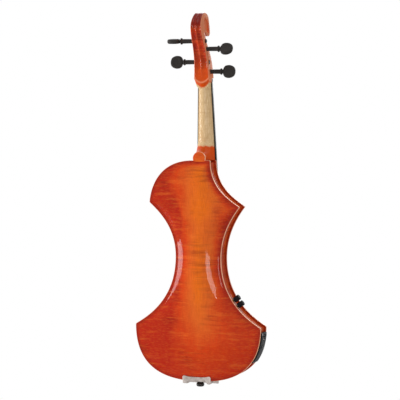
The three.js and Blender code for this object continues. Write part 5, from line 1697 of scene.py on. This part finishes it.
def add_strings():
    for row in STRINGS:
        at_tail, bridge, nut, straight, winding = string_route(row)
        note, radius = row.note, row.diameter / 2
        path = evened(straight[:-1], 12) + winding
        wire = tube(path, radius, 12)
        ball = [
            (0.5 + 1.2 * math.sin(a), 1.1 * -math.cos(a)) for a in evenly(0.2, math.pi - 0.2, 14)
        ]
        end = turned(ball, 28, "x", at_tail[0])
        end = without(end, rod(0.45, "x", -3, 3, at_tail[0], sides=16, rim=0.02))
        form = Form().add(wire, end)
        stand_in("string", form, string_windings[note], 40, tag="_" + note)
        low = evened([at_tail[0].lerp(at_tail[1], s) for s in (0.12, 0.3, 0.55, 0.8)], 0.4)
        low += [at_tail[1].lerp(bridge, s) for s in evenly(0.02, 0.36, 12)]
        top = [nut[1].lerp(winding[0], s) for s in evenly(0.05, 1, 8)]
        for tag, line in (("tail", low), ("peg", top + winding[1:])):
            wrap = tube(line, radius + 0.07, 12)
            piece("silk_" + tag + "_" + note, wrap, silks[note], angle=60)


BRIDGE_SHARES = (
    (0.4, -0.3), (1, -0.3), (1, 0.1), (0.8, 0.2), (0.62, 0.28), (0.6, 0.4), (0.74, 0.48),
    (0.97, 0.54),
    (1, 0.66), (0.94, 0.8),
)
BRIDGE_ARCH = ((-0.37, 0.05), (-0.2, 0.14), (0, 0.17), (0.2, 0.14), (0.37, 0.05))


BRIDGE_HALF = 20.5
BRIDGE_FOOT = -30.5
BRIDGE_HEIGHT = 33


def bridge_point(share):
    return Vector((share[0] * BRIDGE_HALF, BRIDGE_FOOT - share[1] * BRIDGE_HEIGHT))


def add_bridge():
    """Two feet, a heart between two kidneys, and a thin crown with a notch for each string."""
    right = [bridge_point(s) for s in BRIDGE_SHARES]
    crown_half = 0.86 * BRIDGE_HALF
    crown = [Vector((x, bridge_face(x))) for x in evenly(crown_half, -crown_half, 24)]
    arch = [bridge_point(s) for s in BRIDGE_ARCH]
    flank = splined(right, 6, closed=False, corners=(0, 1, 2))
    other = [Vector((-p.x, p.y)) for p in reversed(flank)]
    corner = Vector((-right[0].x, right[0].y))
    under = splined([corner, *arch, right[0]], 6, closed=False)[1:-1]
    outline = flank[:-1] + crown + other[1:] + under
    normals = inward_normals(np.array([tuple(p) for p in outline]))

    def thickness(y):
        return lerp(4.5, 1.4, clamp((BRIDGE_FOOT - y) / BRIDGE_HEIGHT)) / 2

    def level(side, shrink, back):
        return [
            Vector((x + n[0] * shrink, y + n[1] * shrink, BRIDGE_Z + side * (thickness(y) - back)))
            for (x, y), n in zip(outline, normals)
        ]

    steps = ((0.3, 0), (0.09, 0.09), (0, 0.3))
    form = lofted(
        [level(-1, *step) for step in steps] + [level(1, *step) for step in reversed(steps)]
    )
    heart_middle = bridge_point((0, 0.55))
    heart = []
    for k in range(48):
        a = 2 * math.pi * k / 48
        u = 0.2 * 16 * math.sin(a) ** 3
        v = 0.2 * (13 * math.cos(a) - 5 * math.cos(2 * a) - 2 * math.cos(3 * a) - math.cos(4 * a))
        heart.append((heart_middle.x + u * 0.95, heart_middle.y - v * 0.95))
    cutters = [prism(heart, "z", BRIDGE_Z - 6, BRIDGE_Z + 6)]
    for side in (-1, 1):
        middle = bridge_point((side * 0.56, 0.68))
        kidney = []
        for k in range(40):
            a = 2 * math.pi * k / 40
            u, v = 3.4 * math.cos(a), 2.5 * math.sin(a)
            kidney.append((middle.x + u, middle.y + v + 0.09 * u * u * 0.6))
        cutters.append(prism(kidney, "z", BRIDGE_Z - 6, BRIDGE_Z + 6))
    cutters.append(room_behind(-1, SEAT_GAP))
    for row in STRINGS:
        x, radius = row.rank * BRIDGE_SPACING, row.diameter / 2
        y = bridge_face(x) - STRING_SEAT - radius
        cutters.append(
            rod(radius + 0.35, "z", BRIDGE_Z - 3, BRIDGE_Z + 3, (x, y, 0), sides=20, rim=0.02)
        )
    form = without(form, *cutters)
    stand_in("bridge", form, bare_maple, 30)


# ---------------------------------------------------------------- tailpiece, tuners and tail gut


def threaded(radius, low, high, pitch):
    """A screw's shank along Z, with a helical thread."""

    def reach(angle, height):
        turn = (height / pitch - angle / (2 * math.pi)) % 1
        return 1 - 0.16 * abs(2 * turn - 1)

    steps = int((high - low) / pitch * 6)
    profile = [(radius * 0.6, low - 0.001), (radius * 0.92, low)]
    profile += [(radius, z) for z in evenly(low + 0.1, high - 0.1, steps)]
    profile += [(radius * 0.92, high), (radius * 0.6, high + 0.001)]
    return turned(profile, 28, radius_at=reach)


def knurled(radius, low, high, teeth, depth, rim=0.35):
    """A grip along Z with fine teeth round it and a smooth rim at each end."""

    def reach(angle, height):
        ends = clamp(min(height - low, high - height) / rim - 0.6)
        tooth = 0.5 + 0.5 * math.cos(teeth * angle)
        return 1 - depth * ends * (1 - tooth)

    profile = [(radius * 0.4, low), (radius - rim, low), (radius - rim * 0.3, low + rim * 0.3)]
    profile += [(radius, z) for z in evenly(low + rim, high - rim, 6)]
    profile += [(radius - rim * 0.3, high - rim * 0.3), (radius - rim, high), (radius * 0.4, high)]
    return turned(profile, teeth * 6, radius_at=reach)


TAIL_SHARES = ((0, 0.8), (0.05, 1), (0.35, 1.28), (0.7, 1.62), (0.94, 1.95), (1, 1.88))


def add_tailpiece():
    """A plate curved across, wider to the bridge, with a ridge, slots and holes for the tuners."""

    def half_width(up):
        return 10.5 * float(np.interp(up, *zip(*TAIL_SHARES)))

    def section(up, shrink):
        half = half_width(up) - shrink
        height = 7 + up * 101
        top = [
            Vector((x, tail_face(x) + shrink, height))
            for x in evenly(-half + 0.6, half - 0.6, 26)
        ]
        edge = tail_face(half) + shrink
        right = [
            Vector((half - 0.18, edge + 0.12, height)), Vector((half, edge + 0.7, height)),
            Vector((half - 0.25, edge + 2.6, height)),
            Vector((half * 0.94, edge + 3.5 - shrink, height)),
        ]
        under = [
            Vector((x * 0.94, tail_face(x) + 3.8 - shrink, height))
            for x in evenly(half - 0.8, -half + 0.8, 26)
        ]
        left = [Vector((-p.x, p.y, p.z)) for p in reversed(right)]
        return top + right + under + left

    stations = [(0, 0.8), (0.002, 0.35), (0.006, 0.08)]
    stations += [(up, 0) for up in evenly(0.012, 0.988, 40)]
    stations += [(0.994, 0.08), (0.998, 0.35), (1, 0.8)]
    shell = lofted([section(up, shrink) for up, shrink in stations])
    rise = 2.3 - SEAT_GAP - 0.4
    profile = (
        (-1.2, 0.9), (-0.95, 0.35), (-0.5, 0.06), (0, 0), (0.5, 0.06), (0.95, 0.35), (1.2, 0.9),
        (1.2, 3), (-1.2, 3),
    )
    ridge = lofted(
        [
            [Vector((x, tail_face(x) - rise + deep, TAIL_END - 4.2 + up)) for up, deep in profile]
            for x in evenly(-18.1, 18.1, 30)
        ]
    )
    rooms = []
    for row in STRINGS:
        x = row.rank * TUNER_SPACING
        face = tail_face(x)
        lever = box((x - 1.65, face - 4, TAIL_END - 19.2), (x + 1.65, face + 6, TAIL_END - 7.55))
        rooms += [
            eased(lever, 0.5),
            rod(1.15, "x", x - 3.6, x + 3.6, (0, face + 1.9, PIN_Z), sides=20),
            rod(1.6, "y", -2, 20, (x, 0, SCREW_Z), sides=28),
        ]
    for side in (-1, 1):
        rooms.append(rod(1.4, "z", 0, 15, (side * GUT_X, GUT_Y, 0), sides=20))
    form = without(joined(shell, ridge), *rooms)
    stand_in("tailpiece", form.moved(TAIL_FRAME), ebony, 30)


def add_tuner_part(kind, note, form, angle):
    node, tag = "tuner_" + kind, "_" + note
    stand_in(node, form.moved(TAIL_FRAME), nickel, angle, body=node + tag, tag=tag)


def add_tuners():
    """Each fine tuner: a bent lever on a pin, a screw and a knurled knob with a dished top."""
    for row in STRINGS:
        note, x = row.note, row.rank * TUNER_SPACING
        face = tail_face(x)
        fork = TAIL_END - 10.8
        back = face + 10.3
        arm = TAIL_END - 36.5
        profile = [
            (face - 4, fork + 0.3), (face - 4, fork + 1.9), (face - 3.4, fork + 2.2),
            (face + 2.2, fork + 2.2), (face + 3.6, fork + 1.4), (back - 1.0, fork - 0.6),
            (back, fork - 2.6), (back, arm + 0.5), (back - 0.5, arm), (back - 1.6, arm),
            (back - 2, arm + 0.5), (back - 2, TAIL_END - 19.2), (back - 2.6, TAIL_END - 18.1),
            (face + 3.1, TAIL_END - 18.1), (face + 1.4, TAIL_END - 17.2), (face + 0.9, fork - 2.2),
            (face + 0.9, fork + 0.2), (face - 0.2, fork),
        ]
        body = eased(prism([(y, z) for y, z in profile], "x", x - 1.3, x + 1.3), 0.22, angle=40)
        pin = rod(0.8, "x", x - 3.3, x + 3.3, (0, face + 1.9, PIN_Z), sides=24)
        notch = box((x - 0.6, face - 6, fork - 1), (x + 0.6, face - 2.3 + 0.5, fork + 4))
        seat = rod(0.62, "z", fork - 1, fork + 4, (x, face - 1.9, 0), sides=24, rim=0.01)
        lever = without(joined(body, pin), notch, seat)
        add_tuner_part("lever", note, lever, 34)
        to_y = Matrix.Translation((x, 0, SCREW_Z)) @ AXES["y"]
        shank = threaded(1.2, face - 4.6, face + 7.4, 0.6)
        tip = ((0.9, 7.35), (0.75, 7.7), (0.4, 7.95), (0.1, 8.0))
        tip = turned([(radius, face + up) for radius, up in tip], 28)
        add_tuner_part("screw", note, Form().add(shank, tip).moved(to_y), 45)
        high = face - 1.4
        grip = knurled(3.2, high - 4, high, 22, 0.055)
        bore = rod(1.5, "z", high - 3.5, high + 2, sides=28, rim=0.05)
        dish = ((2.3, 4.6), (2.1, 3.85), (1.2, 3.65), (0.2, 3.6))
        dish = turned([(radius, high - down) for radius, down in dish], 32)
        add_tuner_part("knob", note, without(grip, bore, dish).moved(to_y), 34)


def add_tail_gut():
    """A cord out of the tailpiece, over the saddle, round the end button and back."""
    over = -RIM_FACE - SADDLE_TOP - SEAT_GAP - GUT_RADIUS

    def strand(side):
        x = side * GUT_X
        points = [TAIL_FRAME @ Vector((x, GUT_Y, height)) for height in (14.7, 5.9)]
        points += [
            Vector((x, over, BODY_BOTTOM + 3.7)), Vector((x, over, GUT_Z)), Vector((x, 0, GUT_Z))
        ]
        return evened(rounded_path(points, 2.6, 10)[:-1], 1.5)

    arc = [
        Vector((GUT_X * math.cos(a), GUT_X * math.sin(a), GUT_Z)) for a in evenly(0, math.pi, 40)
    ]
    cord = tube(strand(1) + arc + strand(-1)[::-1], GUT_RADIUS, 20)
    stand_in("tail_gut", cord, tail_cord, 60)


def add_end_button():
    profile = [
        (0.4, 0), (2.6, 0.05), (4.2, 0.25), (5.3, 0.7), (6.0, 1.4), (6.4, 2.3), (6.5, 3.2),
        (6.45, 4.4),
        (6.15, 5.4), (5.5, 6.2), (4.75, 6.9), (4.35, 7.4), (4.2, 8.0), (4.2, 9.9), (4.35, 10.6),
        (4.5, 11.4), (4.5, 13.4), (4.3, 13.7), (3.7, 13.75), (3.55, 24), (3.4, 31.6), (3.0, 32),
        (0.4, 32),
    ]
    stand_in("end_button", turned(profile, 64), ebony, 34)


SADDLE_TOP = 6.9
SADDLE_CURVE = (
    (-15.3, 11.2), (-15.3, 18.2), (-15.5, 18.4), (-20.5, 18.35), (-22.6, 18.0), (-24.4, 17.2),
    (-25.5, 15.9), (-25.9, 14.2), (-25.8, 12.6), (-25.2, 11.6), (-24.2, 11.1), (-15.5, 11.0),
)
SADDLE_STATIONS = ((4, 0), (12, 0), (16.1, 0), (16.6, 0.15), (16.9, 0.5), (17, 1.0))


def add_saddle():
    """A block over the lower edge, lower towards its ends, with a groove for each strand."""

    def section(x, shrink):
        slope = 1.6 * smoothstep((abs(x) - 9) / 8)
        ring = []
        for y, z in SADDLE_CURVE:
            front = clamp((-y - RIM_FACE) / SADDLE_TOP)
            low = shrink * 0.6 * clamp((z - 14) / 4)
            ring.append(Vector((x, y + slope * front + shrink * front, z - low)))
        return ring

    rings = [section(-x, shrink) for x, shrink in reversed(SADDLE_STATIONS)]
    rings += [section(x, shrink) for x, shrink in SADDLE_STATIONS]
    grooves = [
        rod(1.15, "z", 9, 20, (side * GUT_X, -26.75, 0), sides=20, rim=0.01) for side in (-1, 1)
    ]
    stand_in("saddle", without(lofted(rings), *grooves), ebony, 30)


# ---------------------------------------------------------------- chin rest and its clamp

CLAMP_X = 19
CLAMP_Z = 9.3
CHIN_LENGTH = 92
CHIN_HEIGHT = 54
CHIN_LOW = 14
CHIN_SHARES = (
    (0.36, 0.06), (0.4, 0.22), (0.35, 0.37), (0.18, 0.44), (0, 0.46), (-0.15, 0.52), (-0.28, 0.66),
    (-0.42, 0.86), (-0.58, 0.98), (-0.74, 0.98), (-0.85, 0.86), (-0.87, 0.68), (-0.8, 0.49),
    (-0.68, 0.32), (-0.53, 0.17), (-0.36, 0.06), (-0.17, 0), (0.1, 0), (0.27, 0),
)
CHIN_PROFILE = (
    (0.1, -38.7), (0.35, -38.5), (0.6, -38.0), (0.8, -37.3), (0.9, -37.0), (0.95, -37.1),
    (0.98, -37.6), (0.995, -38.5), (1, -39.8), (1, -41.6), (0.998, -43.2), (0.99, -44.5),
    (0.975, -45.4), (0.955, -45.9), (0.935, -46.0), (0.91, -45.8), (0.875, -45.2), (0.83, -44.5),
    (0.76, -43.6), (0.67, -42.8), (0.56, -42.1), (0.43, -41.6), (0.28, -41.2), (0.12, -41.0),
)
CORK_THICKNESS = 1.6


def add_chin_rest():
    outline = splined(
        [Vector((a * CHIN_LENGTH, CHIN_LOW + u * CHIN_HEIGHT)) for a, u in CHIN_SHARES], 8
    )
    centre = Vector((-0.42 * CHIN_LENGTH, CHIN_LOW + 0.45 * CHIN_HEIGHT))
    rings = [
        [Vector((lerp(centre.x, p.x, scale), y, lerp(centre.y, p.y, scale))) for p in outline]
        for scale, y in CHIN_PROFILE
    ]
    plate = lofted(rings)
    feet, pads = [], []
    over_cork = room_behind(-1, SEAT_GAP + CORK_THICKNESS)
    for side in (-1, 1):
        x = side * CLAMP_X
        foot = eased(box((x - 5.5, -38.6, 12.2), (x + 5.5, -15, 26.7)), 1.0, segments=3)
        feet.append(without(foot, over_cork))
        pad = eased(box((x - 5.3, -26, 12.4), (x + 5.3, -15, 26.5)), 0.3)
        pads.append(without(combined(pad, [over_cork], "INTERSECT"), room_behind(-1, SEAT_GAP)))
    room = box((-17.35, -26.3, 8), (17.35, -12, 18.75))
    form = without(joined(plate, *feet), room)
    stand_in("chin_rest", form, ebony, 34)
    cork_form = without(Form().add(*pads), room)
    piece("chin_rest_cork", cork_form, cork_look, replaces=["chin_rest"], angle=34)


CLAMP_SEATS = [(side * CLAMP_X, 0, CLAMP_Z) for side in (-1, 1)]


def clamp_rods(low, high):
    return [
        threaded(1.6, low, high, 0.8).moved(Matrix.Translation(seat) @ AXES["y"])
        for seat in CLAMP_SEATS
    ]


def add_clamp():
    """A bracket in front, a flat foot behind and between their threaded rods two barrels."""
    shape = [
        (-24.5, 2.8), (24.5, 2.8), (24.5, 11.9), (17.6, 11.9), (17.6, 8.3), (16.6, 7.3),
        (-16.6, 7.3),
        (-17.6, 8.3), (-17.6, 11.9), (-24.5, 11.9),
    ]
    bar = eased(prism(shape, "y", -23.3, -20.8), 0.7, segments=3)
    boss = (
        (1.2, -24.1), (2.2, -24.0), (2.7, -23.6), (2.8, -23.2), (2.8, -20.9), (2.6, -20.5),
        (1.2, -20.4),
    )
    bosses = [turned(boss, 40, "y", seat) for seat in CLAMP_SEATS]
    stand_in(
        "clamp_bracket", Form().add(bar, *bosses, *clamp_rods(-22.4, -1)), foot_metal, 34
    )

    end = (
        (3.4, 10.2), (3.15, 10.5), (3.15, 11.1), (3.4, 11.4), (3.4, 13.3), (3.25, 13.7),
        (2.9, 13.95), (1.9, 14),
    )
    profile = [(radius, -height) for radius, height in reversed(end)] + list(end)
    for seat, tag in zip(CLAMP_SEATS, ("_bass", "_treble")):
        x, _, z = seat
        barrel = turned(profile, 48, "y", seat)
        bore = rod(1.75, "y", -20, 20, seat, sides=32, rim=0.02)
        dent = rod(1.0, "z", -6, 6, (x, -5, 0), sides=24, rim=0.02)
        hole = rod(1.0, "x", -6, 6, (x, 5, z), sides=24, rim=0.02)
        form = without(barrel, bore, dent, hole)
        node = "clamp_barrel"
        stand_in(node, form, foot_metal, 34, body=node + tag, tag=tag)

    right = [
        (0, 10.9), (6, 10.85), (11.5, 10.7), (15.2, 10.1), (16.8, 9.0), (17.6, 8.1), (18.6, 7.4),
        (20.4, 7.15), (22.2, 7.4), (23.4, 8.4), (23.8, 10.4), (23.8, 13.6), (23.8, 16.8),
        (23.3, 18.7),
        (22.3, 19.7), (20.8, 20.0), (18.9, 19.7), (16.6, 19.15), (12.5, 18.6), (6, 18.35),
        (0, 18.3),
    ]
    left = [(-x, z) for x, z in reversed(right[1:-1])]
    shape = splined([Vector(p) for p in right + left], 4)
    normals = inward_normals(np.array([tuple(p) for p in shape]))
    faces = (
        (19.32, 0.5), (19.4, 0.2), (19.7, 0.0), (20.9, 0.0), (21.35, 0.15), (21.65, 0.45),
        (21.8, 0.95),
    )
    rings = [
        [Vector((p.x + n[0] * inward, y, p.y + n[1] * inward)) for p, n in zip(shape, normals)]
        for y, inward in faces
    ]
    foot = without(lofted(rings), room_behind(1, SEAT_GAP))
    pad = eased(box((-15, 18.98, 12.4), (15, 19.34, 15.4)), 0.1)
    stand_in(
        "clamp_foot", Form().add(foot, *clamp_rods(1, 20.4)), foot_metal, 34,
        body="clamp_foot"
    )
    piece("clamp_foot_cork", pad, cork_look, body="clamp_foot", angle=34)


# ---------------------------------------------------------------- electronics


RIB_LINE = OUTLINE[0]
RIB_RUN = run_along(RIB_LINE)


def rib_reach(z):
    """How far along the lower rib's line the bass side passes a height."""
    bass = RIB_LINE[:, 0] < -20
    return float(np.interp(-z, -RIB_LINE[bass][:, 1], RIB_RUN[bass]))


def on_rib(reach, offset, y):
    """A point at a distance along the lower rib's line, out of it by an offset."""
    at, ahead, back = (
        np.array([np.interp(reach + step, RIB_RUN, RIB_LINE[:, k]) for k in (0, 1)])
        for step in (0, 0.5, -0.5)
    )
    heading = (ahead - back) / np.linalg.norm(ahead - back)
    return Vector((at[0] + heading[1] * offset, y, at[1] - heading[0] * offset))


def skin(start, end, outer, inner, half, rim, steps=48):
    """A slab that follows the lower rib between two offsets, its outer edges rounded."""
    rings = []
    for reach in evenly(start, end, steps):
        edge = min(reach - start, end - reach)
        fall = rim - math.sqrt(max(rim**2 - max(rim - edge, 0) ** 2, 0))
        corner = [(inner, half)]
        corner += [
            (outer - fall - rim + rim * math.sin(a), half - rim + rim * math.cos(a))
            for a in evenly(0, math.pi / 2, 6)
        ]
        ring = [on_rib(reach, offset, -width) for offset, width in corner]
        rings.append(ring + [on_rib(reach, offset, width) for offset, width in reversed(corner)])
    return lofted(rings)


SCREW_RADIUS = 1.35
SCREW_HEAD = ((0.5, -0.8), (0.96, -0.4), (1, -0.05), (0.93, 0.06), (0.5, 0.16))


def small_screw(place, outward):
    """A countersunk head with a cross recess."""
    head = turned([(SCREW_RADIUS * share, up) for share, up in SCREW_HEAD] + [(0.1, 0.18)], 28)
    arm = SCREW_RADIUS * 0.62
    cross = [
        box((-across, -up, -0.35), (across, up, 1)) for across, up in ((arm, 0.16), (0.16, arm))
    ]
    return without(head, *cross).moved(Matrix.Translation(place) @ along(outward))


DOOR_HINGE = DOOR_FRAME @ Matrix.Translation((-0.168, 0, 13.15))
PANEL_MIDDLE = rib_reach(67.5)
PANEL_FACE = 2.0
DOOR_MIDDLE = rib_reach(57.6)
BATTERY_FACE = -2.468
BATTERY_BACK = BATTERY_FACE - 48.5


def add_panel():
    """A slab on the rib with a sleeve for the battery, a groove round the door and four screws."""
    middle, door = PANEL_MIDDLE, DOOR_MIDDLE
    slab = skin(middle - 25.7, middle + 25.7, PANEL_FACE, -2.7, 14.2, 0.9)
    sleeve = box((-53.9, -10.25, -14.75), (-1.4, 10.25, 14.75)).moved(DOOR_FRAME)
    cavity = eased(box((-53.2, -9.05, -13.55), (30, 9.05, 13.55)), 0.8).moved(DOOR_FRAME)
    lid_room = skin(door - 14.6, door + 14.6, 4, 0.1, 12.9, 0.3)
    hinge_room = rod(1.4, "y", -12.9, 12.9).moved(DOOR_HINGE)
    jack_room = rod(5.55, "x", JACK_X - 5, JACK_X + 12, (0, 0, JACK_Z), sides=64)
    groove = without(
        skin(door - 16.3, door + 16.3, 4, 1.65, 14.6, 0.3),
        skin(door - 15.7, door + 15.7, 5, 1.0, 14.9, 0.3),
    )
    form = without(joined(slab, sleeve), cavity, lid_room, hinge_room, jack_room)
    form = without(form, groove)
    piece(
        "panel_look", form, black_plastic, replaces=["electronics_panel"],
        angle=34,
    )
    screws = Form()
    for reach in (middle - 23.6, middle + 23.6):
        for y in (-11.6, 11.6):
            place = on_rib(reach, PANEL_FACE, y)
            screws.add(small_screw(place, place - on_rib(reach, 0, y)))
    piece("panel_screws", screws, steel, angle=30)


def add_door():
    """The battery's door: a lid on a hinge barrel, with three ridges to grip."""
    door = DOOR_MIDDLE
    lid = skin(door - 14.25, door + 13.0, PANEL_FACE, 0.4, 12.6, 0.5)
    barrel = rod(1.1, "y", -12.6, 12.6, sides=32).moved(DOOR_HINGE)
    grip = Form()
    for k in range(3):
        line = [on_rib(door - 13.5 + k * 1.2, 1.95, y) for y in evenly(-6, 6, 12)]
        grip.add(tube(line, lambda s: 0.42 * min(1, 0.4 + 6 * min(s, 1 - s)), 12))
    base = skin(door - 14.25, door - 10.4, 2.35, 1.2, 6, 0.4, steps=16)
    stand_in(
        "battery_door", Form().add(lid, barrel, base, grip), black_plastic, 34,
        body="battery_door"
    )


def add_battery():
    """A block battery with two snap terminals at its inner end."""
    case = box((BATTERY_BACK, -8.75, -13.25), (BATTERY_FACE, 8.75, 13.25))
    stand_in(
        "battery", eased(case, 1.6, segments=4).moved(DOOR_FRAME), battery_look, 40
    )
    posts = Form()
    for side, outer, inner in ((-1, 2.9, 1.9), (1, 2.4, 1.5)):
        profile = (
            (outer * 0.6, 0.0), (outer * 0.75, 0.1), (outer * 0.8, 1.2), (outer, 1.5), (outer, 1.9),
            (outer * 0.8, 1.99), (0.3, 2.0),
        )
        post = without(turned(profile, 36), rod(inner, "z", 0.6, 4, sides=32, rim=0.05))
        place = Matrix.Translation((BATTERY_BACK + 0.05, 0, side * 6.6)) @ along((-1, 0, 0))
        posts.add(post.moved(DOOR_FRAME @ place))
    piece("battery_terminals", posts, brass, replaces=["battery"], angle=34)


def add_jack():
    """A round socket with a flange in the panel and a metal ring in its mouth."""
    at = Matrix.Translation((JACK_X, 0, JACK_Z)) @ along((1, 0, 0))
    profile = (
        (4.2, 0.5), (4.5, 0.12), (4.9, 0.02), (5.25, 0.25), (5.4, 0.7), (5.4, 4.8), (5.2, 5),
        (4.5, 5.1), (4.5, 23.7), (4.2, 24), (1, 24),
    )
    bore = rod(3.3, "z", -2, 20, sides=48, rim=0.02)
    mouth = rod(4.25, "z", -2, 1.2, sides=48, rim=0.02)
    stand_in(
        "output_jack", without(turned(profile, 64), bore, mouth).moved(at), black_plastic,
        34
    )
    ring = turned(((3.9, 0.3), (4.1, 0.38), (4.2, 0.55), (4.2, 1.15)), 48)
    ring = without(ring, rod(3.45, "z", -2, 6, sides=48, rim=0.02))
    piece("output_jack_ring", ring.moved(at), nickel, angle=34)


def add_knobs():
    """The two controls: knurled, dished on top, each with a light mark."""
    for name, seat in KNOB_SEATS.items():
        place = Matrix.Translation(seat) @ along(KNOB_OUT)
        bore = rod(1.75, "z", -1, 7.4, sides=28, rim=0.02)
        dish = turned(((3.2, 11), (3.0, 10.25), (1.8, 10.02), (0.2, 10.0)), 40)
        mark_room = box((-0.3, 1.2, 9.9), (0.3, 4.6, 11))
        form = without(knurled(4.4, 0, 10.4, 26, 0.05, rim=0.7), bore, dish, mark_room)
        mark = eased(box((-0.26, 1.25, 9.6), (0.26, 3.9, 10.22)), 0.08)
        stand_in(name, form.moved(place), black_plastic, 34, body=name)
        piece(
            name + "_mark", mark.moved(place), ivory_mark, body=name, angle=34
        )


def add_pickup():
    """The pickup in the bridge, and its lead through the bass sound hole down to the board."""
    bar = eased(box((-8, -43.6, 167.25), (8, -40.1, 169.45)), 0.5, segments=3)
    stand_in("bridge_pickup", bar, soft_black, 40)
    hole = handled(HOLE_UPPER, HOLE_LOWER, HOLE_SHARES, count=501)[250]
    board = rib_frame((-60.93, 0, 139.6), KNOB_OUT)
    start = Vector((-8.3, -41.85, 168.35))
    points = [
        start, Vector((lerp(start.x, -hole[0], 0.25), start.y, start.z)),
        Vector((-hole[0], -30.5, hole[1] + 0.8)), Vector((-hole[0], -15, hole[1])),
        board @ Vector((-11.4, 0, -32)), board @ Vector((-11.4, 0, -17.3)),
    ]
    lead = tube(evened(rounded_path(points, 3.9, 8), 4), 0.8, 14)
    stand_in("pickup_lead", lead, soft_black, 60)


INNER = (
    "lining_back", "lining_top", "neck_block", "end_block", "corner_block_treble_lower",
    "corner_block_treble_upper", "corner_block_bass_upper", "corner_block_bass_lower", "sound_post",
    "bass_bar",
)


def dress(name, material):
    """A carried-over node gets its material."""
    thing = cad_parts[name]
    thing = bpy.data.objects[thing] if isinstance(thing, str) else thing
    if not thing.material_slots:
        thing.data.materials.append(material)
    for slot in thing.material_slots:
        slot.material = material


add_camera()
add_surroundings()
add_plates()
add_ribs()
add_shaft()
add_head()
add_fingerboard()
add_nut()
add_pegs()
add_strings()
add_bridge()
add_tailpiece()
add_tuners()
add_tail_gut()
add_end_button()
add_saddle()
add_chin_rest()
add_clamp()
add_panel()
add_door()
add_battery()
add_jack()
add_knobs()
add_pickup()
for inner in INNER:
    dress(inner, bare_spruce)
dress("preamp_board", board_green)
